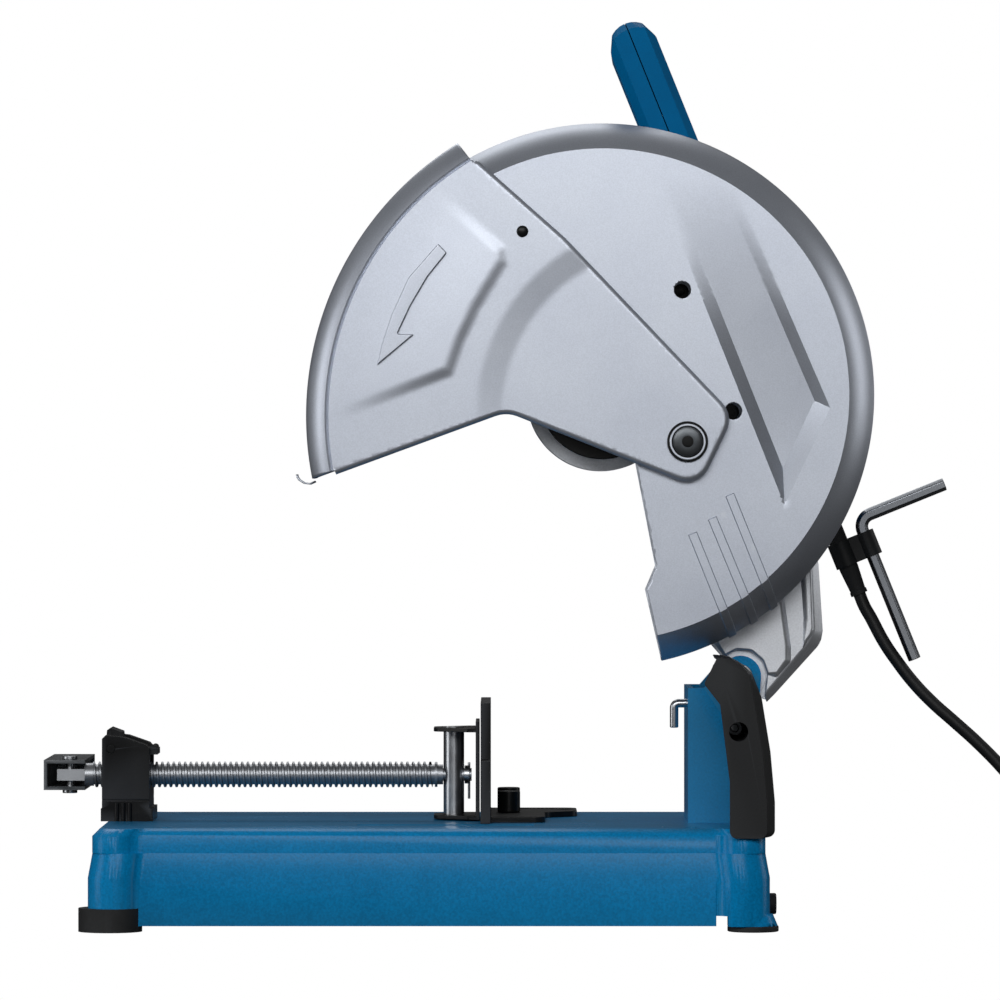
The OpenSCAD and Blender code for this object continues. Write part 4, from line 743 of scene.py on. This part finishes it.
def makeMovingGuard():
    g = movingGuard
    rim, plate, lip, bend = g["rim"], g["plate"], g["lip"], g["lipRound"]
    inner = rim - g["rimRound"]
    before, after = g["grooveWidths"]
    profile = flatRings(inner - before, g["plateRings"], plate)
    profile.append((inner, plate + g["groove"]))
    profile += steepening((inner + after, plate - g["rimFront"]), rim - g["rimEdge"], g["rimTilt"],
                          g["rimRings"])
    profile += [(rim, y) for y in (profile[-1][1] + g["rimFold"], g["rimBack"], lip - bend)]
    profile += arcPoints((rim - bend, lip - bend), bend, 0, 90, foldSteps)
    profile.append((rim - g["lipDepth"], lip))
    bm = spunSkin(g["rimCentre"], profile, g["spinSteps"], g["spinStart"])
    high, low = g["rimEnds"]
    clear, farClear = (rim + more for more in g["outside"])
    tip, heel = (arcPoints(g["rimCentre"], clear, turn, turn, 1)[0] for turn in (high, low + g["heelTurn"]))
    px, pz = saw["guard"]
    corners = [(px + x, pz + z, r) for x, z, r in g["corners"]]
    outline = roundCorners([(*tip, 0)] + corners + [(*heel, 0)])
    outline += arcPoints(g["rimCentre"], farClear, low, high, count=10)[1:-1]
    cutOutline(bm, outline, reach=14, keepInside=True)
    for v in bm.verts:
        x, y, z = v.co * 1000
        if isAt(y, plate):
            v.co.y -= pressedHeight(x, z) / 1000

    def onPlate(v):
        return math.dist((v.co.x * 1000, v.co.z * 1000), g["rimCentre"]) < inner - 1

    foldBack(bm, [e for e in bm.edges if e.is_boundary and all(onPlate(v) for v in e.verts)])
    faceForward(bm, before=-100)
    obj = replaceSolid("movingGuard", bm, "silverPaint", "moving_guard", crease=30)
    addSheet(obj, g["sheet"])


# raised arrow that shows which way the wheel turns
def makeTurningArrow():
    g = movingGuard
    bm = bmesh.new()
    root = g["plate"] - g["arcStep"]["height"] - g["panelHeight"] + g["arrowRoot"]
    face = bm.faces.new([bm.verts.new(mm(x, root, z)) for x, z in g["arrow"]])
    drawFaces(bm, [face], mm(0, -g["arrowHeight"] - g["arrowRoot"], 0))
    faceOutward(bm)
    placePiece("turningArrow", bm, "silverPaint", "guard", "silver_paint", bevel=(0.9, 3))


# turned pieces: profiles of (radius, y) about an axis along y
turnedPieces = {
    "guardRivet": {
        "centre": (63.8, 477.7), "finish": "blackEnamel", "body": "guard", "slot": "steel",
        "stands": ["moving_guard_screw"],
        "profile": [(0, -108.7), (2.6, -108.6), (3.6, -108.1), (4, -107.4), (4, -106.2), (2, -106.2),
                    (2, -102.4), (4, -102.4), (4, -100), (0, -100)]},
    "pivotBolt": {
        "centre": saw["guard"], "finish": "blackEnamel", "body": "arm", "slot": "black_metal",
        "stands": ["guard_pivot_bolt"],
        "profile": [(0, -111), (8.9, -111), (9.7, -110.7), (10, -110), (10, -107.5), (13.3, -107.5),
                    (14, -106.8), (14, -105.1), (8, -105.1), (8, -96), (5, -96), (5, -93.5), (9, -93.5),
                    (9, -88.5), (0, -88.5)]},
    "pivotRing": {
        "centre": saw["guard"], "finish": "silverPaint", "body": "arm", "slot": "steel",
        "profile": [(10.9, -107.3), (10.9, -108.4), (11.1, -108.6), (12.1, -108.6), (12.3, -108.4),
                    (12.3, -107.3)]},
    "pivotCap": {
        "centre": saw["guard"], "finish": "oxideSteel", "body": "arm", "slot": "black_metal",
        "profile": [(0, -110.4), (3.4, -110.4), (4, -111.2), (8.7, -111.2), (9.7, -110.8), (10.1, -110),
                    (10.1, -107.4)]},
}
turnedSteps = 48


def makeTurnedPieces():
    for name, t in turnedPieces.items():
        bm = spunSkin(t["centre"], t["profile"], turnedSteps)
        placePiece(name, bm, t["finish"], t["body"], t["slot"], t.get("stands", ()), crease=40)


# wire springs: a round section spun and shifted along y, with a straight leg at each end
springs = {
    "returnSpring": {"node": "return_spring", "centre": saw["pivot"], "radius": 13.4, "wire": 1.7, "y": 18.7,
                     "pitch": 5.1, "turns": 6, "turn": 1, "legs": (36, -36), "bodies": ("arm", "base")},
    "guardSpring": {"node": "guard_spring", "centre": saw["guard"], "radius": 9.6, "wire": 0.7, "y": -97.1,
                    "pitch": -2.15, "turns": 2, "turn": -1, "legs": (-12, 12), "bodies": ("arm", "guard")},
}
springSteps, springSides = 32, 10  # steps in a turn, sides of the wire
alongX = Matrix.Rotation(math.radians(90), 4, "Y")  # lays a round section along x


def moved(x, y, z):
    return Matrix.Translation(mm(x, y, z))


# draws a ring of edges out by a step, and gives the new ring
def drawRing(bm, ring, step):
    grown = bmesh.ops.extrude_edge_only(bm, edges=ring)["geom"]
    bmesh.ops.translate(bm, verts=vertsIn(grown), vec=step)
    return edgesIn(grown)


# a circle of edges, as (verts, edges)
def wireRing(bm, place, radius, sides):
    verts = bmesh.ops.create_circle(bm, segments=sides, radius=radius / 1000, matrix=place)["verts"]
    return verts, list({e for v in verts for e in v.link_edges})


def closeEnds(bm):
    bmesh.ops.holes_fill(bm, edges=bm.edges)
    faceOutward(bm)


def makeSprings():
    for name, w in springs.items():
        bm = bmesh.new()
        cx, cz = w["centre"]
        verts, first = wireRing(bm, moved(cx + w["radius"], w["y"], cz), w["wire"], springSides)
        last = bmesh.ops.spin(bm, geom=verts + first, cent=onAxis(w["centre"]), axis=(0, w["turn"], 0),
                              dvec=mm(0, w["pitch"] / springSteps, 0), angle=2 * math.pi * w["turns"],
                              steps=springSteps * w["turns"])["geom_last"]
        for ring, leg in zip((first, edgesIn(last)), w["legs"]):
            drawRing(bm, ring, mm(0, 0, leg))
        closeEnds(bm)
        obj = newObject(name, meshOf(name, bm), "zincSteel")
        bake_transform(obj)
        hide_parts(w["node"])


# vise screw: a trapezoid thread spun as a true helix on its core, with neck, journal and tongue
viseScrew = {
    "y": 12, "z": 101.4, "start": -237, "end": 4.3, "radius": 9, "root": 7, "pitch": 4,
    "perTurn": 28, "sides": 40,  # steps in a turn of the thread, and sides of the rods
    "flanks": (0.30, 0.44, 0.86),  # end of the crest, start and end of the root, as shares of the pitch
    "rods": [(-243, -236.5, 8), (-237, 8.55, 7), (2.8, 4.6, 8.8), (4.3, 8.55, 6), (8.5, 28.6, 4.5)],
    "tongue": (-261.8, -242.5, 16, 8),
}


def makeViseScrew():
    w = viseScrew
    bm = bmesh.new()
    crest, down, up = w["flanks"]
    shape = [(0, w["radius"]), (crest, w["radius"]), (down, w["root"]), (up, w["root"]), (1, w["radius"])]
    points = [mm(w["start"] + share * w["pitch"], w["y"], w["z"] + r) for share, r in shape]
    verts, edges = drawLine(bm, points)
    turns = int((w["end"] - w["start"]) / w["pitch"]) - 1
    bmesh.ops.spin(bm, geom=verts + edges, cent=mm(0, w["y"], w["z"]), axis=(1, 0, 0),
                   dvec=mm(w["pitch"] / w["perTurn"], 0, 0), angle=2 * math.pi * turns,
                   steps=turns * w["perTurn"])
    mergeClose(bm, 0.02)
    faceOutward(bm)
    for x0, x1, r in w["rods"]:
        place = moved((x0 + x1) / 2, w["y"], w["z"]) @ alongX
        bmesh.ops.create_cone(bm, cap_ends=True, segments=w["sides"], radius1=r / 1000, radius2=r / 1000,
                              depth=(x1 - x0) / 1000, matrix=place)
    x0, x1, wide, high = w["tongue"]
    size = Matrix.Diagonal((*mm(x1 - x0, wide, high), 1))
    place = moved((x0 + x1) / 2, w["y"], w["z"]) @ size
    bmesh.ops.create_cube(bm, size=1, matrix=place)
    replaceSolid("viseScrew", bm, "threadSteel", "vise_screw", crease=38)


# transport lock pin: a rod bent down outside the bracket
lockPin = {"tip": 198.7, "bendX": 169.8, "y": -22, "z": 152.4, "drop": 17, "radius": 3, "bend": 3.1,
           "sides": 20, "bendSteps": 10}


def makeLockPin():
    w = lockPin
    bm = bmesh.new()
    place = moved(w["tip"], w["y"], w["z"]) @ alongX
    ring = wireRing(bm, place, w["radius"], w["sides"])[1]
    ring = drawRing(bm, ring, mm(w["bendX"] + w["bend"] - w["tip"], 0, 0))
    ends = list({v for e in ring for v in e.verts})
    centre = mm(w["bendX"] + w["bend"], w["y"], w["z"] - w["bend"])
    last = bmesh.ops.spin(bm, geom=ends + ring, cent=centre, axis=(0, -1, 0), angle=math.radians(90),
                          steps=w["bendSteps"])["geom_last"]
    drawRing(bm, edgesIn(last), mm(0, 0, w["bend"] - w["drop"]))
    closeEnds(bm)
    replaceSolid("lockPin", bm, "zincSteel", "lock_pin", bevel=(0.8, 2), crease=50)


# an outline of (x, z) points, with holes, filled and drawn out from one y to another
def drawnOut(outlines, y0, y1):
    bm = bmesh.new()
    edges = []
    for outline in outlines:
        edges += drawLine(bm, [mm(x, y0, z) for x, z in outline], closed=True)[1]
    filled = bmesh.ops.triangle_fill(bm, use_beauty=True, edges=edges)["geom"]
    drawFaces(bm, [f for f in filled if isinstance(f, bmesh.types.BMFace)], mm(0, y1 - y0, 0))
    joinFlat(bm, 1)
    faceOutward(bm)
    return bm


# handle: drawn with y as x and the grip's height as z, drawn out across, then turned into its leaning place
handle = {
    "middle": 61, "half": 17, "groove": 0.4, "grip": 211, "barrel": 58.1,
    "edge": 5.5, "edgeWide": 8.8,  # chamfer round each shell
    "taper": 3.4, "taperRun": (5, 105),  # the front side narrows away from the camera
    "outline": [(-12, 228, 0), (-20, 223, 0), (-20, 99, 22), (18, 99, 8), (18, -134, 4), (72, -134, 4),
                (72, 99, 8), (110, 99, 22), (110, 223, 0), (102, 228, 0)],
    "gap": [(14, 129, 14), (76, 129, 14), (76, 194, 14), (14, 194, 14)],
    "screws": [(-3, 159), (93, 159), (27, 87), (63, 87), (45, -75), (29, -118)],
    "well": 4.2, "wellSides": 12, "wellDepth": 3,  # round each screw
    # extra cuts, across the shell as shares of its half width and up the stretch that meets the motor
    "cutShares": (0.25, 0.45, 0.6, 0.82, 0.91, 0.97), "barrelCuts": (6.5, 6),
}


# the handle's shell at a point: its top is round, its foot hollow for the motor and its front side tapered
def shapeHandle(v, side):
    w = handle
    y, n, h = v.co * 1000
    across = (n - w["middle"]) / w["half"]
    hollow = math.sqrt(max(w["barrel"] ** 2 - h * h, 0))
    if h <= w["grip"] and n < hollow:
        v.co.y = hollow / 1000
        return
    if h > w["grip"]:
        v.co.z = (w["grip"] + (h - w["grip"]) * math.sqrt(max(1 - across ** 2, 0))) / 1000
    if side < 0:
        start, run = w["taperRun"]
        v.co.y -= w["taper"] * clamp((y - start) / run) * across / 1000


def sinkWell(bm, place, far):
    w = handle
    ring = circlePoints(place, w["well"], w["wellSides"])
    for p, q in sidesOf(ring):
        cutLine(bm, p, q, ylow=far - 1, yhigh=far + 1)
    floor = []
    for f in bm.faces:
        c = middleOf(f)
        if c.y > far - 0.2 and math.dist((c.x, c.z), place) < w["well"] * 0.99:
            floor.append(f)
    drawFaces(bm, floor, mm(0, -w["wellDepth"], 0))
    bmesh.ops.delete(bm, geom=floor, context="FACES_ONLY")


def makeHandleShell(name, node, side):
    w = handle
    far = w["middle"] + side * w["half"]
    shoulder = far - side * w["edge"]
    outlines = [roundCorners(w["outline"]), roundCorners(w["gap"])]
    bm = drawnOut(outlines, w["middle"] + side * w["groove"], shoulder)
    faces = [f for f in bm.faces if isAt(middleOf(f).y, shoulder)]
    bmesh.ops.inset_region(bm, faces=faces, thickness=w["edgeWide"] / 1000, depth=w["edge"] / 1000,
                           use_even_offset=True, use_boundary=True)
    for share in w["cutShares"]:
        cutAcross(bm, mm(0, w["middle"] + side * w["half"] * share, 0), (0, 1, 0))
    step, count = w["barrelCuts"]
    for high in [w["grip"]] + [step * k for k in range(-count, count + 1)]:
        cutAcross(bm, mm(0, 0, high), (0, 0, 1))
    for v in bm.verts:
        shapeHandle(v, side)
    mergeClose(bm, 0.05)
    bmesh.ops.dissolve_degenerate(bm, edges=bm.edges, dist=0.00005)
    if side > 0:
        for place in w["screws"]:
            sinkWell(bm, place, far)
    swap = Matrix(((0, 1, 0, 0), (1, 0, 0, 0), (0, 0, 1, 0), (0, 0, 0, 1)))
    turn = Matrix.Translation(onAxis(saw["motor"])) @ Matrix.Rotation(-math.radians(saw["lean"]), 4, "Y")
    bmesh.ops.transform(bm, matrix=turn @ swap, verts=bm.verts)
    faceOutward(bm)
    replaceSolid(name, bm, "blueNylon", node, bevel=(0.7, 2), crease=30)


# spark hood: a moulded cover, open to the left and behind, with a deep well for its screw
hood = {
    "outline": [(196, 187, 2), (187, 169, 3), (198, 155, 3), (204.6, 102, 0), (204.6, 64, 5),
                (236, 64, 5), (236, 88, 0), (233, 122, 0), (227, 159, 9), (220.6, 175.6, 6),
                (214, 182, 4), (206.5, 186, 3)],
    "near": -139, "back": -42, "wall": 2.5, "edge": 5, "sharp": 60,  # degrees from which an edge is rounded
    "well": (210.5, 136.6), "wellRadius": 6.6, "wellSides": 24, "wellEdge": 0.7,
    "wellFoot": 0.62,  # it narrows to this share
    # before the shoulder the rear wall leans in, from an x on that is smaller at the crown
    "draft": 6.2, "draftTop": 190, "draftRun": 30, "shoulder": 20, "rearFrom": 218,
    "crownFrom": 203, "crownLow": 158,
}


# moves a point towards an axis along y, to a share of its distance
def drawIn(v, centre, share):
    for i, at in zip((0, 2), centre):
        v.co[i] = (at + (v.co[i] * 1000 - at) * share) / 1000


def inHoodWell(x, z):
    return math.dist((x, z), hood["well"]) < hood["wellRadius"] + 0.5


def isHoodOpening(f):
    c = middleOf(f)
    leftSide = c.y > hood["near"] + 1 and f.normal.x < -0.5 and not inHoodWell(c.x, c.z)
    return leftSide or isAt(c.y, hood["back"])


def makeHood():
    w = hood
    ring = circlePoints(w["well"], w["wellRadius"], w["wellSides"])
    bm = drawnOut([roundCorners(w["outline"]), ring], w["near"], w["back"])
    bmesh.ops.delete(bm, geom=[f for f in bm.faces if isHoodOpening(f)], context="FACES")
    cutAcross(bm, mm(0, w["near"] + w["shoulder"], 0), (0, 1, 0))
    for v in bm.verts:
        x, y, z = v.co * 1000
        if y > w["back"] - 1 and inHoodWell(x, z):
            drawIn(v, w["well"], w["wellFoot"])
        elif y < w["near"] + 1 and x > (w["crownFrom"] if z > w["crownLow"] else w["rearFrom"]):
            v.co.x -= w["draft"] * min((w["draftTop"] - z) / w["draftRun"], 1) / 1000
    weight = bm.edges.layers.float.new("bevel_weight_edge")
    for e in bm.edges:
        if len(e.link_faces) == 2 and e.calc_face_angle() > math.radians(w["sharp"]):
            x, y, z = e.verts[0].co * 1000
            e[weight] = w["wellEdge"] / w["edge"] if inHoodWell(x, z) else 1.0
    faceForward(bm)
    obj = replaceSolid("sparkHood", bm, "blackPlastic", "spark_hood", bevel=(w["edge"], 4), crease=34)
    obj.modifiers["softEdge"].limit_method = "WEIGHT"
    obj.modifiers["softEdge"].harden_normals = True
    addSheet(obj, w["wall"])
    obj.modifiers.move(1, 2)  # the sheet goes before the levelled faces


# tie round the coil of cord, a flat strap across its turns
cordTie = {"centre": (490, 109), "angle": 60, "inner": 29, "outer": 69, "low": 0.2, "high": 20.1,
           "round": 4, "strap": 0.7, "width": 14}


def makeCordTie():
    w = cordTie
    rings = []
    for d in (0, w["strap"]):
        left, right, low, high = w["inner"] + d, w["outer"] - d, w["low"] + d, w["high"] - d
        corners = [(left, low), (right, low), (right, high), (left, high)]
        rings.append(roundCorners([(*corner, w["round"]) for corner in corners]))
    bm = drawnOut(rings, -w["width"] / 2, w["width"] / 2)
    turn = moved(*w["centre"], 0) @ Matrix.Rotation(math.radians(w["angle"]), 4, "Z")
    bmesh.ops.transform(bm, matrix=turn, verts=bm.verts)
    placePiece("cordTie", bm, "rubber", "base", "rubber", crease=30)


# reliefs on the front of the arm's beam, as (outer, inner) points from the hinge, each from one y to another
armFace = {
    "beam": {
        "depth": (-29.9, -35.5),
        "outline": [
            ((17.8, -18.9), (16.5, -13.5)), ((23.8, -12.9), (20, -9)),
            ((53.5, 20), (47, 23)), ((56.2, 25), (49.6, 27.8)),
            ((57.3, 31.1), (51, 32)), ((54.3, 78.1), (49, 78)),
            ((46.3, 103.1), (43, 102)), ((20, 100), (22, 98)), ((-22, 68), (-20, 68)),
            ((-18.5, 22), (-16.5, 22.5)), ((-11.5, 13.6), (-11.3, 14)), ((-3, 18.2), (-3, 18.4)),
            ((7, 17.4), (7, 17.6)), ((15, 10.7), (15.1, 10.8)), ((18.4, 2), (18.6, 2)),
            ((17.2, -7), (17.4, -7))]},
    "panel": {
        "depth": (-35.4, -38.5),
        "outline": [
            ((29.5, 60), (26, 60)), ((35, 21), (31.5, 21)), ((35, 10), (31.5, 11)),
            ((25, -1.5), (25, 2)), ((18.7, 0.5), (18.8, 1.5)), ((15.3, 10.9), (15.4, 11)),
            ((7.1, 17.7), (7.2, 17.8)), ((-3, 18.5), (-3, 18.6)), ((-11.1, 14.1), (-11, 14.3)),
            ((-16.4, 22.6), (-16.2, 22.8)), ((-18, 60), (-17.8, 60))]},
    "ridge": {
        "depth": (-35.4, -37.6),
        "outline": [
            ((48.8, 90), (48.2, 90)), ((50.8, 33), (50, 33)), ((49.4, 28.4), (48.6, 28.8)),
            ((43, 18.5), (43.2, 21.5)), ((43.5, 40), (46, 40)), ((40, 90), (43, 90))]},
}


def makeArmFace():
    px, pz = saw["pivot"]
    for name, w in armFace.items():
        bm = bmesh.new()
        loops = []
        for y, points in zip(w["depth"], zip(*w["outline"])):
            loops.append(drawLine(bm, [mm(px + x, y, pz + z) for x, z in points], closed=True)[1])
        bmesh.ops.bridge_loops(bm, edges=loops[0] + loops[1])
        bmesh.ops.triangle_fill(bm, use_beauty=True, edges=loops[1])
        joinFlat(bm, 1)
        faceForward(bm)
        placePiece("arm" + name.title(), bm, "silverCasting", "arm", "casting", bevel=(1.2, 3), crease=25)


# curled lip at the low end of the moving guard's rim
guardLip = {"curl": [(-92, 311.7), (-91.6, 309.8), (-90.3, 307.9), (-86.8, 305.7), (-82.7, 305.2),
                     (-79.2, 306.8)],
            "y": (-60, -38), "sheet": 1.2}


def makeGuardLip():
    near, back = guardLip["y"]
    bm = bmesh.new()
    edges = drawLine(bm, [mm(x, near, z) for x, z in guardLip["curl"]])[1]
    drawRing(bm, edges, mm(0, back - near, 0))
    obj = placePiece("guardLip", bm, "silverPaint", "guard", "silver_paint", crease=60)
    addSheet(obj, guardLip["sheet"], offset=0)


makeFixedGuard()
makeMovingGuard()
makeTurningArrow()
makeGuardLip()
print("guards pressed")
makeTurnedPieces()
makeSprings()
makeViseScrew()
makeLockPin()
print("turned and wound pieces made")
makeHandleShell("handleFront", "handle_front_shell", -1)
makeHandleShell("handleRear", "handle_rear_shell", 1)
makeHood()
makeCordTie()
makeArmFace()
print("handle, hood, tie and arm face made")

# solids whose shape is right, by finish: a joined copy with soft edges, radii in mm
softPieces = {
    "blueCoat": {"hinge_bracket": 2},
    "blueNylon": {"motor_housing": 1.2},
    "silverCasting": {"gear_housing": 1.6, "bearing_plate": 1.2},
    "blackPlastic": {"motor_end_cap": 1, "brush_caps": 0.6, "key_clip": 0.8, "trigger": 1.5,
                     "lock_off_button": 1, "spindle_lock_button": 1, "plug": 2},
    "blackEnamel": {"nut_block": 1.2, "outer_flange": 0.8, "jaw": 0.7, "fence": 1, "clamp_lever": 1,
                    "lever_pin": 0.5, "guard_screws": 0.4, "fence_bolts": 0.8},
    "rubber": {"front_feet": 1.2, "rear_feet": 0.8, "rear_bumpers": 1.2, "strain_relief": 0.6},
    "zincSteel": {"base_bolts": 0.5, "hinge_pin": 0.8, "end_cap_screws": 0.4, "handle_screws": 0.3,
                  "inner_flange": 0.6, "wheel_bolt": 0.6, "vise_pin": 0.6, "screw_retainer": 0.4,
                  "crank_pin": 0.5, "half_nut": 0.4},
    "oxideSteel": {"crank_arm": 0.8, "hood_screw": 0.4},
    "nickelSteel": {"hex_key": 0.5},
}
# inner solids that only take a finish
hiddenPieces = {
    "blackPlastic": ["switch_module", "fan"],
    "zincSteel": ["spindle_bearings", "motor_bearings", "spindle", "drive_gear", "pinion"],
    "copperWinding": ["field_core", "armature"],
    "carbon": ["brushes"],
}

# the stop lug at the hinge: offsets from the hinge where the hood covers it, and the radius left there
lugCut = {"left": -12, "top": 12, "reach": 26, "radius": 18.6}


def trimLug(bm):
    px, pz = saw["pivot"]
    for v in bm.verts:
        x, z = v.co.x * 1000 - px, v.co.z * 1000 - pz
        r = math.hypot(x, z)
        if lugCut["radius"] < r < lugCut["reach"] and x < lugCut["left"] and z < lugCut["top"]:
            drawIn(v, saw["pivot"], lugCut["radius"] / r)


def camel(node):
    first, *rest = node.split("_")
    return first + "".join(word.title() for word in rest) + "Piece"


for finish, pieces in softPieces.items():
    for node, radius in pieces.items():
        bm = solidCopy(node)
        if node == "gear_housing":
            trimLug(bm)
        replaceSolid(camel(node), bm, finish, node, bevel=(radius, 3))
pan = solidCopy("base_pan", joined=False)
replaceSolid("basePan", pan, "blueCoat", "base_pan", crease=50, level=True)
for finish, hidden in hiddenPieces.items():
    for node in hidden:
        nodes[node].data.materials.clear()
        nodes[node].data.materials.append(finishes[finish])
print("solids finished")
